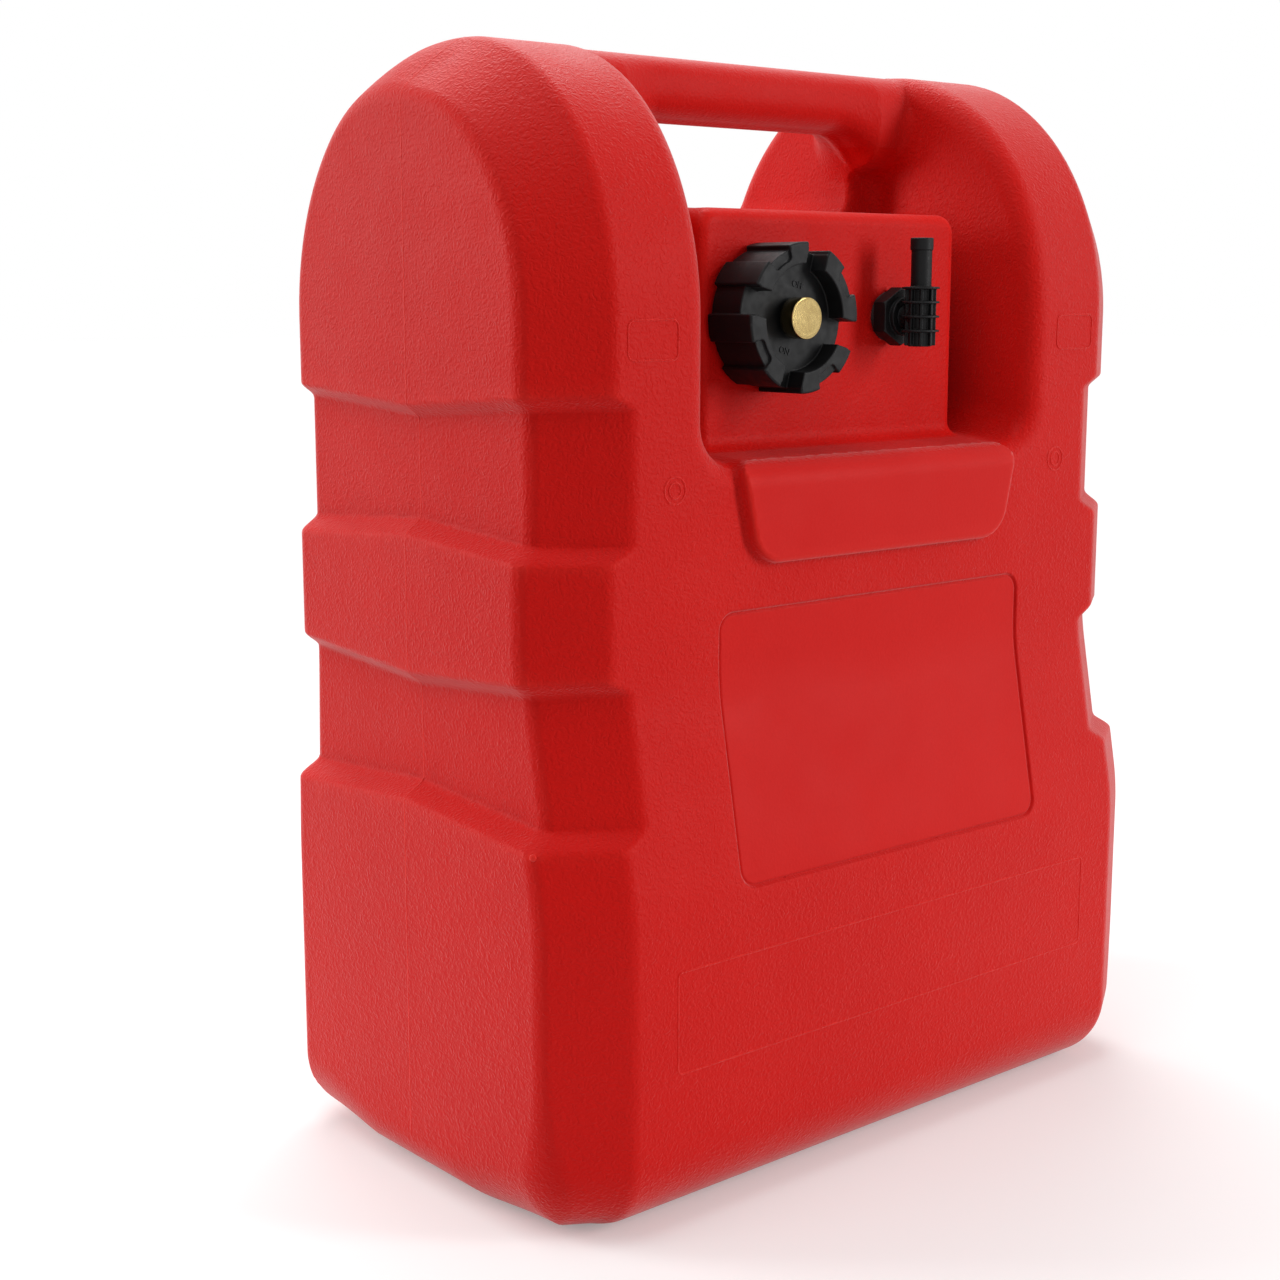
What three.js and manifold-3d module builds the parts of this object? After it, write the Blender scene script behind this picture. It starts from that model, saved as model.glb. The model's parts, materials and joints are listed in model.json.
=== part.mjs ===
// Outboard fuel tank: blow-moulded can with a carrying handle, a vented screw cap and a hose elbow.
// Millimetres, +Z up, the front faces -Y. The origin is on the floor under the middle of the can.
// The mould parts on one upright plane. Every form is drawn with that plane at y = 0, and the finished
// assembly is shifted back by half the difference between the front and the back flare.
import * as THREE from "three";
import { mergeVertices } from "three/addons/utils/BufferGeometryUtils.js";
import Module from "manifold-3d";

const wasm = await Module();
wasm.setup();

// Sizes of the can
const WALL = 3.2;
const BODY_TOP = 498;
const FACE_DEPTH = 100; // parting plane to the front face, and to the back face
const FRONT_FLARE = 16.6; // how far the foot of the front face stands out
const BACK_FLARE = 3.6;
const FLARE_TOP = 228;
const FLARE_FOOT = 141;
const CORNER_DEPTH = 20; // depth of the slanted corner, face to end
const CORNER_EASE = 5; // rounding along each corner edge

// Ends: half width on the parting plane, and half width of the flat front face
const TOP_BAND_HALF = 187;
const TOP_BAND_FACE = 153;
const TOP_GROOVE_HALF = 181;
const TOP_GROOVE_FACE = 143.5;
const MID_BAND_HALF = 189;
const MID_BAND_FACE = 155.5;
const LOW_GROOVE_HALF = 182;
const LOW_GROOVE_FACE = 145.5;
const LOW_BAND_HALF = 192.5;
const LOW_BAND_FACE = 156.5;

// Levels of the band edges at the corners, and the change of level towards the parting plane
const LOW_BAND_TOP = 164;
const LOW_GROOVE_FOOT = 178;
const LOW_GROOVE_TOP = 230.5;
const MID_BAND_FOOT = 241;
const MID_BAND_TOP = 279;
const TOP_GROOVE_FOOT = 292.5;
const TOP_GROOVE_TOP = 345.5;
const TOP_BAND_FOOT = 354;
const BAND_VEE = 6;

// Rounded foot of the can
const FOOT_ROUND_FRONT = 40;
const FOOT_ROUND_BACK = 30;
const FOOT_ROUND_END = 28;

// Arched shoulders: the outer arch is the edge of the front face, the inner one that of the end face
const ARCH_BASE = 381;
const ARCH_INNER_DROP = 24.5; // outer crown to inner crown

// Recess between the shoulders, in front and behind
const RECESS_HALF = 104; // at the front face
const RECESS_FOOT = 322; // at the front face
const RECESS_CORNER = 17;
const RECESS_RIM = 11; // rounding of its rim
const RECESS_COVE = 9; // hollow rounding of its bottom corner
const RECESS_SIDE_DRAFT = 4;
const RECESS_FOOT_DRAFT = 12;
const GAP_HALF = 84; // opening behind the handle, at the back face
const GAP_FOOT = 428;
const GAP_CORNER = 12;
const GAP_RIM = 10;
const GAP_COVE = 6;
const GAP_DRAFT = 4;

// Raised panel that carries the neck and the outlet, and the step it rises from
const PANEL_DEPTH = 69.6; // parting plane to its face
const PANEL_HALF = 81.8;
const PANEL_CORNER = 9;
const PANEL_EDGE = 6;
const PANEL_DRAFT = 3;
const STEP_DEPTH = 30;
const STEP_EDGE = 7;

// Plate under the recess
const PLATE_RISE = 5.5;
const PLATE_FOOT = 279;
const PLATE_TOP_HALF = 89;
const PLATE_FOOT_HALF = 79;
const PLATE_CORNER = 13;
const PLATE_EDGE = 2.5;

// Smooth field for a label, sunk into the front face
const LABEL_HALF = 96.6;
const LABEL_FOOT = 143.6;
const LABEL_TOP = 259.3;
const LABEL_CORNER = 8;
const LABEL_SINK = 1;

// Handle
const HANDLE_TOP = 497;
const HANDLE_HEIGHT = 28.6;
const HANDLE_WIDTH = 34;
const HANDLE_FLARE = 17; // how far its root swells downwards
const HANDLE_ROOT = 24; // length over which the root swells
const HANDLE_ROOT_SHARES = [1, 0.8, 0.55, 0.25, 0]; // sections of the root, from the bar to the shoulder
const HANDLE_OVAL_SHARE = 0.8; // 1 is a plain oval, less is squarer

// Sizes of the neck and the cap
const NECK_X = -47;
const NECK_Z = 381.5;
const NECK_RADIUS = 26.4;
const NECK_BORE = 22.4;
const NECK_LENGTH = 12;
const CAP_RADIUS = 32;
const CAP_GRIP_SINK = 2.3;
const CAP_BORE_GAP = 0.9;
const CAP_FOOT_GAP = 1.6; // cap to panel
const CAP_DISH_RADIUS = 22.8;
const CAP_DISH_DEPTH = 9;
const CAP_DECK = 3; // thickness of the plate under the dish
const CAP_NOTCH_WIDTH = 11.4;
const CAP_NOTCHES = 4;
const CAP_FIRST_NOTCH = 75; // degrees from +X
const CAP_CLAW_SHARE = 0.56; // share of each grip pitch that stands out
const CAP_EDGE = 1.2;
const CAP_BOSS_RADIUS = 9;
const CAP_BOSS_LENGTH = 7.2;
const SEAT_GAP = 0.3; // between parts that rest on each other
const LINER_THICK = 1.6;
const LINER_VENTS = 6;
const LINER_VENT_RADIUS = 1.5;
const GASKET_THICK = 2;
const GASKET_REACH = 1.6; // how far it stands into the neck's bore

// Vent screw
const VENT_HEAD_RADIUS = 8.9;
const VENT_HEAD_EDGE = 0.7;
const VENT_HEAD_LENGTH = 7.8;
const VENT_SHANK_RADIUS = 2.9;
const VENT_TRAVEL = 1.5;
const VENT_RING_THICK = 1.6;
const VENT_RING_RADIUS = 5.4;
const VENT_RUN_GAP = 0.35; // shank to bush
const BUSH_RADIUS = 5;
const BUSH_RIM = 0.8;
const CIRCLIP_RADIUS = 4.9;
const CIRCLIP_THICK = 0.8;
const CIRCLIP_SINK = 0.7; // depth of its groove in the shank
const CIRCLIP_MOUTH = 3.4;
const SHANK_TAIL = 1.6;

// Sizes of the outlet
const OUTLET_X = 34.4;
const OUTLET_Z = 381.3;
const HEX_ACROSS = 23;
const HEX_THICK = 7.4;
const HEX_EDGE = 1;
const COLLAR_RADIUS = 8.6;
const ELBOW_REACH = 20.4; // panel to the axis of the upright body
const ELBOW_CORE = 5.2;
const ELBOW_HEAD = 13.6; // above the outlet's axis
const DISC_RADIUS = 8.5;
const DISC_THICK = 1.3;
const DISC_TIP = 0.5;
const DISC_COUNT = 4;
const DISC_PITCH = 6.4;
const FIN_COUNT = 8;
const FIN_THICK = 1.4;
const FIN_RADIUS = 7;
const STEM_RADIUS = 4.7;
const STEM_BARB = 5.2;
const STEM_TOP = 35.2; // above the outlet's axis
const BARB_LENGTH = 5.5;
const STEM_BORE = 3.1;
const WASHER_THICK = 1.5;
const WASHER_RADIUS = 12.4;
const SPIGOT_RADIUS = 7.7;
const PORT_GAP = 0.35;
const PORT_BOSS_RADIUS = 14;
const PORT_BOSS_LENGTH = 7;
const INNER_BARB_RADIUS = 4.1;
const INNER_BARB_LIP = 0.5;
const INNER_BARB_LENGTH = 15;
const INNER_BARB_TIP = 3;

// Pickup line
const HOSE_RADIUS = 6.4;
const HOSE_BORE = 4.9;
const HOSE_TURN_SHARE = 0.985; // where the hose has begun to bend, of its fall from the outlet
const HOSE_FALL_SHARES = [0.86, 0.6, 0.3]; // the same for the rest of its way down
const HOSE_CLEAR = 1.2; // hose end to the shoulder it is pushed against
const CLIP_THICK = 1.2;
const CLIP_WIDTH = 6;
const CLIP_EAR = 5;
const CLIP_EAR_GAP = 2.4;
const STRAINER_X = 14;
const STRAINER_Y = 22;
const STRAINER_RADIUS = 13;
const STRAINER_DECK = 2.4;
const STRAINER_WINDOW = 16;
const STRAINER_POSTS = 4;
const STRAINER_POST = 4;
const STRAINER_SPIGOT = 14;
const SCREEN_WALL = 0.8;
const WEIGHT_THICK = 6;
const WEIGHT_EDGE = 1;

// Fineness
const OVERRUN = 2; // how far a cutter runs past what it cuts
const MERGE = 1e-4;
const ARCH_STEPS = 11;
const FOOT_STEPS = 5;
const RIM_STEPS = 3;
const CORNER_STEPS = 3;
const HANDLE_SIDES = 16;
const ROUND_SEGMENTS = 36;
const SMALL_SEGMENTS = 20;
const HOLE_SEGMENTS = 12;
const HOSE_STEPS = 26;
const DEGREE = Math.PI / 180;
const QUARTER_TURN = Math.PI / 2;

// Solids

// A closed geometry as a solid: vertices are merged by position, and collapsed triangles are dropped.
// A geometry that faces inwards is turned inside out.
function solidOf(geometry) {
  const bare = geometry.index ? geometry.toNonIndexed() : geometry.clone();
  for (const name of Object.keys(bare.attributes)) if (name !== "position") bare.deleteAttribute(name);
  const merged = mergeVertices(bare, MERGE);
  const corners = [];
  for (let i = 0; i < merged.index.count; i += 3) {
    const [a, b, c] = [0, 1, 2].map((k) => merged.index.getX(i + k));
    if (a !== b && b !== c && a !== c) corners.push(a, b, c);
  }
  const made = (triangles) =>
    new wasm.Manifold(
      new wasm.Mesh({
        numProp: 3,
        vertProperties: new Float32Array(merged.attributes.position.array),
        triVerts: new Uint32Array(triangles),
      }),
    );
  const solid = made(corners);
  if (solid.volume() > 0) return solid;
  return made(corners.map((corner, i) => corners[i + [0, 1, -1][i % 3]]));
}

function geometryOf(solid) {
  const mesh = solid.getMesh();
  const position = new Float32Array(mesh.numVert * 3);
  for (let i = 0; i < mesh.numVert; i++) {
    position.set(mesh.vertProperties.subarray(i * mesh.numProp, i * mesh.numProp + 3), i * 3);
  }
  const geometry = new THREE.BufferGeometry();
  geometry.setAttribute("position", new THREE.BufferAttribute(position, 3));
  geometry.setIndex(new THREE.BufferAttribute(mesh.triVerts, 1));
  geometry.computeVertexNormals();
  return geometry;
}

const join = (...solids) => solids.reduce((all, next) => all.add(next));
const cut = (body, ...tools) => tools.reduce((rest, tool) => rest.subtract(tool), body);
// The largest closed surface of a solid, without the crumbs that grazing cuts leave.
const whole = (solid) =>
  solid.decompose().reduce((most, next) => (next.volume() > most.volume() ? next : most));

// A closed surface through loops of equally many points, with a flat or folded end at each side.
function loft(loops) {
  const count = loops[0].length;
  const position = loops.flat().flatMap((p) => [p.x, p.y, p.z]);
  const index = [];
  for (let j = 0; j + 1 < loops.length; j++) {
    for (let i = 0; i < count; i++) {
      const next = (i + 1) % count;
      const [a, b, c, d] = [j * count + i, j * count + next, (j + 1) * count + next, (j + 1) * count + i];
      index.push(a, b, c, a, c, d);
    }
  }
  for (const [loop, flip] of [[loops[0], true], [loops.at(-1), false]]) {
    const middle = loop.reduce((sum, p) => sum.add(p), new THREE.Vector3()).divideScalar(count);
    const hub = position.length / 3;
    position.push(middle.x, middle.y, middle.z);
    const start = flip ? 0 : (loops.length - 1) * count;
    for (let i = 0; i < count; i++) {
      const pair = [start + i, start + ((i + 1) % count)];
      index.push(hub, ...(flip ? pair.reverse() : pair));
    }
  }
  const geometry = new THREE.BufferGeometry();
  geometry.setAttribute("position", new THREE.Float32BufferAttribute(position, 3));
  geometry.setIndex(index);
  return solidOf(geometry);
}

// A profile of [radius, y] points turned about an axis along Y through x, z.
function turned(profile, x = 0, z = 0, segments = ROUND_SEGMENTS) {
  const geometry = new THREE.LatheGeometry(profile.map(([r, y]) => new THREE.Vector2(r, y)), segments);
  return solidOf(geometry.translate(x, 0, z));
}

// The same about an upright axis through x, y, from [radius, z] points.
function turnedUpright(profile, x, y, segments = SMALL_SEGMENTS) {
  const geometry = new THREE.LatheGeometry(profile.map(([r, z]) => new THREE.Vector2(r, z)), segments);
  return solidOf(geometry.rotateX(QUARTER_TURN).translate(x, y, 0));
}

const disc = (radius, back, front, x, z, segments) =>
  turned([[0, front], [radius, front], [radius, back], [0, back]], x, z, segments);
const ring = (outer, inner, back, front, x, z, segments) =>
  turned([[inner, front], [outer, front], [outer, back], [inner, back], [inner, front]], x, z, segments);

// A shape drawn in x and z, extruded along Y from its back towards the front.
function extrudedFront(shape, back, front, curveSegments = CORNER_STEPS) {
  const settings = { depth: back - front, bevelEnabled: false, curveSegments };
  const geometry = new THREE.ExtrudeGeometry(shape, settings);
  return solidOf(geometry.rotateX(QUARTER_TURN).translate(0, back, 0));
}

// A shape drawn in y and z, extruded along X over a half width to each side.
function extrudedAcross(shape, half, curveSegments = CORNER_STEPS) {
  const settings = { depth: 2 * half, bevelEnabled: false, curveSegments };
  const geometry = new THREE.ExtrudeGeometry(shape, settings);
  const axes = new THREE.Matrix4().makeBasis(
    new THREE.Vector3(0, 1, 0),
    new THREE.Vector3(0, 0, 1),
    new THREE.Vector3(1, 0, 0),
  );
  return solidOf(geometry.applyMatrix4(axes).translate(-half, 0, 0));
}

// Corner points of a polygon, each with its radius, as a rounded outline.
function roundedPolygon(corners) {
  const shape = new THREE.Shape();
  corners.forEach(([x, y, radius], i) => {
    const here = new THREE.Vector2(x, y);
    const before = new THREE.Vector2(...corners.at(i - 1));
    const after = new THREE.Vector2(...corners[(i + 1) % corners.length]);
    const into = here.clone().add(before.sub(here).setLength(radius || 0));
    const out = here.clone().add(after.sub(here).setLength(radius || 0));
    if (i === 0) shape.moveTo(into.x, into.y);
    else shape.lineTo(into.x, into.y);
    if (radius) shape.quadraticCurveTo(x, y, out.x, out.y);
  });
  shape.closePath();
  return shape;
}

// Form of the can

// How far a round of this radius has drawn in at a height over its foot.
const roundInset = (radius, height) =>
  height >= radius ? 0 : radius - Math.sqrt(radius * radius - (radius - height) ** 2);

const easing = (share) => share * share * (3 - 2 * share);

// Depth of the front or back face at a level, for a body drawn in by an inset.
function faceDepth(level, flare, inset) {
  if (level > ARCH_BASE) {
    const rise = Math.min(1, (level - ARCH_BASE) / (BODY_TOP - inset - ARCH_BASE));
    return (FACE_DEPTH - inset) * Math.sqrt(1 - rise * rise);
  }
  const share = THREE.MathUtils.clamp((FLARE_TOP - level) / (FLARE_TOP - FLARE_FOOT), 0, 1);
  return FACE_DEPTH - inset + flare * share;
}

// One quarter of a level section, from the parting plane to the middle of the face, as [x, y] pairs.
function quarter(level, half, face, flare, footRound, inset) {
  const height = level - inset;
  const drawnEnd = inset + roundInset(FOOT_ROUND_END - inset, height);
  const drawnFace = inset + roundInset(footRound - inset, height);
  const end = half - drawnEnd;
  const depth = faceDepth(level, flare, 0) - drawnFace;
  const cornerX = face - drawnEnd;
  if (level <= ARCH_BASE) {
    const cornerY = depth - CORNER_DEPTH;
    const run = Math.hypot(end - cornerX, CORNER_DEPTH);
    const ease = CORNER_EASE / run;
    const along = (share) => [end + (cornerX - end) * share, cornerY + CORNER_DEPTH * share];
    return [
      [end, 0],
      [end, cornerY - CORNER_EASE],
      mixed([end, cornerY - CORNER_EASE], [end, cornerY], along(ease)),
      along(ease),
      along(1 / 2),
      along(1 - ease),
      mixed(along(1 - ease), [cornerX, depth], [cornerX - CORNER_EASE, depth]),
      [cornerX - CORNER_EASE, depth],
    ];
  }
  // In the arch the slanted corner runs from the inner arch, on the end face, to the outer one.
  const outerRise = BODY_TOP - inset - ARCH_BASE;
  const innerRise = outerRise - ARCH_INNER_DROP;
  const rise = Math.min(level - ARCH_BASE, outerRise);
  const first = Math.max(0, (rise - innerRise) / (outerRise - innerRise));
  const corner = (share) => {
    const reach = innerRise + (outerRise - innerRise) * share;
    const width = FACE_DEPTH - inset - CORNER_DEPTH * (1 - share);
    return [end + (cornerX - end) * share, width * Math.sqrt(Math.max(0, 1 - (rise / reach) ** 2))];
  };
  const run = Math.hypot(end - cornerX, CORNER_DEPTH);
  const ease = (CORNER_EASE / run) * (1 - first);
  const at = (share) => corner(first + (1 - first) * share);
  const [startX, startY] = at(0);
  const back = Math.max(0, startY - CORNER_EASE * (1 - first));
  const faceY = corner(1)[1];
  return [
    [startX, 0],
    [startX, back],
    mixed([startX, back], [startX, startY], at(ease)),
    at(ease),
    at(1 / 2),
    at(1 - ease),
    mixed(at(1 - ease), corner(1), [cornerX - CORNER_EASE, faceY]),
    [cornerX - CORNER_EASE, faceY],
  ];
}

// The middle point of an eased corner.
function mixed(before, corner, after) {
  return before.map((value, i) => (value + 2 * corner[i] + after[i]) / 4);
}

// Levels of the body's sections: at the corner, lift at the parting plane, half width, face half width.
function bodyStations(inset) {
  const stations = [];
  const add = (level, lift, half, face) => stations.push({ level, lift, half, face });
  const tallest = Math.max(FOOT_ROUND_FRONT, FOOT_ROUND_BACK, FOOT_ROUND_END);
  for (let k = 0; k <= FOOT_STEPS; k++) {
    const height = (tallest - inset) * (1 - Math.cos((k / FOOT_STEPS) * QUARTER_TURN));
    add(inset + height, 0, LOW_BAND_HALF, LOW_BAND_FACE);
  }
  add(FLARE_FOOT, 0, LOW_BAND_HALF, LOW_BAND_FACE);
  const shoulderShares = [0, 1 / 3, 2 / 3, 1];
  const shoulder = (from, to, lift, [halfA, faceA], [halfB, faceB]) => {
    for (const share of shoulderShares) {
      const blend = easing(share);
      const mix = THREE.MathUtils.lerp;
      add(mix(from, to, share), lift, mix(halfA, halfB, blend), mix(faceA, faceB, blend));
    }
  };
  const lowBand = [LOW_BAND_HALF, LOW_BAND_FACE];
  const lowGroove = [LOW_GROOVE_HALF, LOW_GROOVE_FACE];
  const midBand = [MID_BAND_HALF, MID_BAND_FACE];
  const topGroove = [TOP_GROOVE_HALF, TOP_GROOVE_FACE];
  const topBand = [TOP_BAND_HALF, TOP_BAND_FACE];
  shoulder(LOW_BAND_TOP, LOW_GROOVE_FOOT, BAND_VEE, lowBand, lowGroove);
  add(FLARE_TOP - BAND_VEE, 0, ...lowGroove);
  shoulder(LOW_GROOVE_TOP, MID_BAND_FOOT, -BAND_VEE, lowGroove, midBand);
  shoulder(MID_BAND_TOP, TOP_GROOVE_FOOT, BAND_VEE, midBand, topGroove);
  shoulder(TOP_GROOVE_TOP, TOP_BAND_FOOT, -BAND_VEE, topGroove, topBand);
  for (const level of archLevels(inset)) add(level, 0, ...topBand);
  return stations;
}

// Levels from the base of the arch to its crown, closer together towards the crown.
function archLevels(inset) {
  const rise = BODY_TOP - inset - ARCH_BASE;
  return Array.from({ length: ARCH_STEPS + 1 }, (_, k) =>
    ARCH_BASE + rise * Math.sin((k / ARCH_STEPS) * QUARTER_TURN));
}

// The whole can without its recess, drawn in by an inset.
function bodySolid(inset) {
  const loops = bodyStations(inset).map(({ level, lift, half, face }) => {
    const front = quarter(level, half, face, FRONT_FLARE, FOOT_ROUND_FRONT, inset);
    const back = quarter(level, half, face, BACK_FLARE, FOOT_ROUND_BACK, inset);
    const place = (quarterPoints, signX, signY) =>
      quarterPoints.map(([x, y]) => {
        const toEdge = Math.min(1, y / Math.max(MERGE, quarterPoints[2][1]));
        return new THREE.Vector3(signX * x, signY * y, level + lift * (1 - toEdge));
      });
    return [
      ...place(front, 1, -1).reverse(),
      ...place(back, 1, 1).slice(1),
      ...place(back, -1, 1).reverse(),
      ...place(front, -1, -1).slice(1),
    ];
  });
  return loft(loops);
}

// A recess between the shoulders, open above. Its rim follows the curved face that it is cut into.
// side is -1 for the front and 1 for the back, and grow widens it all over.
function recessSolid({ side, half, foot, corner, rim, cove, sideDraft, footDraft, flare, floor, grow }) {
  const levels = [...archLevels(0).reverse(), (foot + ARCH_BASE) / 2]
    .filter((level) => level > foot + corner + rim);
  const top = BODY_TOP + OVERRUN;
  const layers = [
    { depth: -OVERRUN, out: rim, flat: true },
    { depth: -OVERRUN, out: rim },
    { depth: 0, out: rim },
  ];
  for (let k = 1; k <= RIM_STEPS; k++) {
    const turn = (k / RIM_STEPS) * QUARTER_TURN;
    layers.push({ depth: rim * (1 - Math.cos(turn)), out: rim * (1 - Math.sin(turn)) });
  }
  const length = FACE_DEPTH - floor;
  layers.push({ depth: length - cove, out: 0, draft: 1 });
  for (let k = 1; k <= 2; k++) {
    const turn = (k / 2) * QUARTER_TURN;
    const [sunk, drawn] = [cove * Math.sin(turn), cove * (1 - Math.cos(turn))];
    layers.push({ depth: length - cove + sunk, out: -drawn, draft: 1 });
  }
  const loops = layers.map(({ depth, out, draft = 0, flat = false }) => {
    const wide = half + out - draft * sideDraft + grow;
    const low = foot - out + draft * footDraft - grow;
    const round = Math.max(corner / 4, corner + out + grow);
    const outline = [[wide, top], ...levels.map((level) => [wide, level])];
    for (let k = 0; k <= CORNER_STEPS; k++) {
      const turn = (k / CORNER_STEPS) * QUARTER_TURN;
      outline.push([wide - round * (1 - Math.cos(turn)), low + round * (1 - Math.sin(turn))]);
    }
    const mirrored = outline.map(([x, z]) => [-x, z]).reverse();
    return [...outline, ...mirrored].map(([x, z]) => {
      const surface = flat ? FACE_DEPTH + OVERRUN : faceDepth(z, flare, 0);
      const reach = depth < 0 ? surface - depth : surface + (floor - surface) * (depth / length);
      return new THREE.Vector3(x, side * reach, z);
    });
  });
  return loft(side < 0 ? loops : loops.reverse());
}

function frontRecess(grow) {
  return recessSolid({
    side: -1, half: RECESS_HALF, foot: RECESS_FOOT, corner: RECESS_CORNER, rim: RECESS_RIM,
    cove: RECESS_COVE, sideDraft: RECESS_SIDE_DRAFT, footDraft: RECESS_FOOT_DRAFT, flare: FRONT_FLARE,
    floor: -grow, grow,
  });
}

function backRecess(grow) {
  return recessSolid({
    side: 1, half: GAP_HALF, foot: GAP_FOOT, corner: GAP_CORNER, rim: GAP_RIM,
    cove: GAP_COVE, sideDraft: GAP_DRAFT, footDraft: 0, flare: BACK_FLARE,
    floor: -OVERRUN - grow, grow,
  });
}

// The step at the bottom of the recess, and the panel that rises from it.
function panelSolid(inset) {
  const top = GAP_FOOT - inset;
  const foot = RECESS_FOOT - RECESS_RIM;
  const reach = PANEL_HALF - inset;
  const stepFront = -STEP_DEPTH + inset;
  const step = extrudedAcross(
    roundedPolygon([
      [OVERRUN + inset, foot, 0],
      [OVERRUN + inset, top, 0],
      [stepFront, top, STEP_EDGE],
      [stepFront, foot, 0],
    ]),
    RECESS_HALF + OVERRUN,
  );
  const layers = [
    { y: OVERRUN + inset, out: PANEL_DRAFT },
    { y: -PANEL_DEPTH + inset + PANEL_EDGE, out: 0 },
  ];
  for (let k = 1; k <= RIM_STEPS; k++) {
    const turn = (k / RIM_STEPS) * QUARTER_TURN;
    layers.push({
      y: -PANEL_DEPTH + inset + PANEL_EDGE * (1 - Math.sin(turn)),
      out: -PANEL_EDGE * (1 - Math.cos(turn)),
    });
  }
  const loops = layers.map(({ y, out }) => {
    const wide = reach + out;
    const high = top + Math.min(0, out);
    const round = PANEL_CORNER + Math.min(0, out);
    const side = [];
    for (let k = 0; k <= CORNER_STEPS; k++) {
      const turn = (k / CORNER_STEPS) * QUARTER_TURN;
      side.push([wide - round * (1 - Math.sin(turn)), high - round * (1 - Math.cos(turn))]);
    }
    const right = [[wide, foot], ...side.reverse()];
    const left = right.map(([x, z]) => [-x, z]).reverse();
    return [...right, ...left].map(([x, z]) => new THREE.Vector3(x, y, z));
  });
  return join(step, loft(loops));
}

// The plate under the recess: its upper edge rolls over the lip.
function plateSolid() {
  const front = -FACE_DEPTH - PLATE_RISE;
  const back = -PANEL_DEPTH;
  const section = roundedPolygon([
    [back, PLATE_FOOT, 0], [back, RECESS_FOOT + PLATE_EDGE, 0], [front, RECESS_FOOT, RECESS_RIM],
    [front, PLATE_FOOT, PLATE_EDGE],
  ]);
  const outline = roundedPolygon([
    [-PLATE_FOOT_HALF, PLATE_FOOT, PLATE_CORNER], [PLATE_FOOT_HALF, PLATE_FOOT, PLATE_CORNER],
    [PLATE_TOP_HALF, RECESS_FOOT + PLATE_EDGE, 0], [-PLATE_TOP_HALF, RECESS_FOOT + PLATE_EDGE, 0],
  ]);
  return extrudedAcross(section, PLATE_TOP_HALF, RIM_STEPS + 1).intersect(
    extrudedFront(outline, back, front - OVERRUN, RIM_STEPS + 1),
  );
}

// The sunk label field keeps the slope of the face.
function labelCutter() {
  const outline = roundedPolygon([
    [-LABEL_HALF, LABEL_FOOT, LABEL_CORNER], [LABEL_HALF, LABEL_FOOT, LABEL_CORNER],
    [LABEL_HALF, LABEL_TOP, LABEL_CORNER], [-LABEL_HALF, LABEL_TOP, LABEL_CORNER],
  ]);
  const deepest = -FACE_DEPTH + WALL;
  return cut(extrudedFront(outline, deepest, -FACE_DEPTH - FRONT_FLARE - OVERRUN), bodySolid(LABEL_SINK));
}

// The handle: an oval bar whose roots swell downwards into the shoulders.
function handleSolid(inset) {
  const wide = HANDLE_WIDTH / 2 - inset;
  const end = RECESS_HALF + RECESS_RIM + WALL;
  const rootEnd = GAP_HALF - GAP_DRAFT;
  const reaches = [...HANDLE_ROOT_SHARES.map((share) => rootEnd - share * HANDLE_ROOT), end];
  const spots = [...reaches.map((x) => -x).reverse(), ...reaches];
  const loops = spots.map((x) => {
    const share = THREE.MathUtils.clamp((Math.abs(x) - rootEnd + HANDLE_ROOT) / HANDLE_ROOT, 0, 1);
    const swell = HANDLE_FLARE * share * share;
    const top = HANDLE_TOP - inset;
    const low = HANDLE_TOP - HANDLE_HEIGHT - swell + inset;
    const middle = (top + low) / 2;
    return Array.from({ length: HANDLE_SIDES }, (_, i) => {
      const turn = (i / HANDLE_SIDES) * 2 * Math.PI;
      const [across, up] = [Math.cos(turn), Math.sin(turn)];
      const square = (value) => Math.sign(value) * Math.abs(value) ** HANDLE_OVAL_SHARE;
      const y = (wide + swell / 4) * square(across);
      return new THREE.Vector3(x, y, middle + (top - middle) * square(up));
    });
  });
  return loft(loops);
}

// Neck, cap and vent
const panelFace = -PANEL_DEPTH;
const neckRim = panelFace - NECK_LENGTH;
const gasketBack = neckRim - SEAT_GAP;
const gasketFront = gasketBack - GASKET_THICK;
const linerBack = gasketFront - SEAT_GAP;
const linerFront = linerBack - LINER_THICK;
const deckBack = linerFront - SEAT_GAP;
const deckFront = deckBack - CAP_DECK;
const capFront = deckFront - CAP_DISH_DEPTH;
const capFoot = panelFace - CAP_FOOT_GAP;
const bossEnd = deckBack + CAP_BOSS_LENGTH;
const ventRingBack = deckFront - SEAT_GAP;
const headBack = ventRingBack - VENT_RING_THICK - SEAT_GAP;
const headFront = headBack - VENT_HEAD_LENGTH;
const bushRimBack = bossEnd + SEAT_GAP + BUSH_RIM;
const circlipFront = bushRimBack + VENT_TRAVEL + VENT_RUN_GAP;
const circlipBack = circlipFront + CIRCLIP_THICK;
const shankEnd = circlipBack + SHANK_TAIL;
const bushBore = VENT_SHANK_RADIUS + VENT_RUN_GAP;

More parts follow.
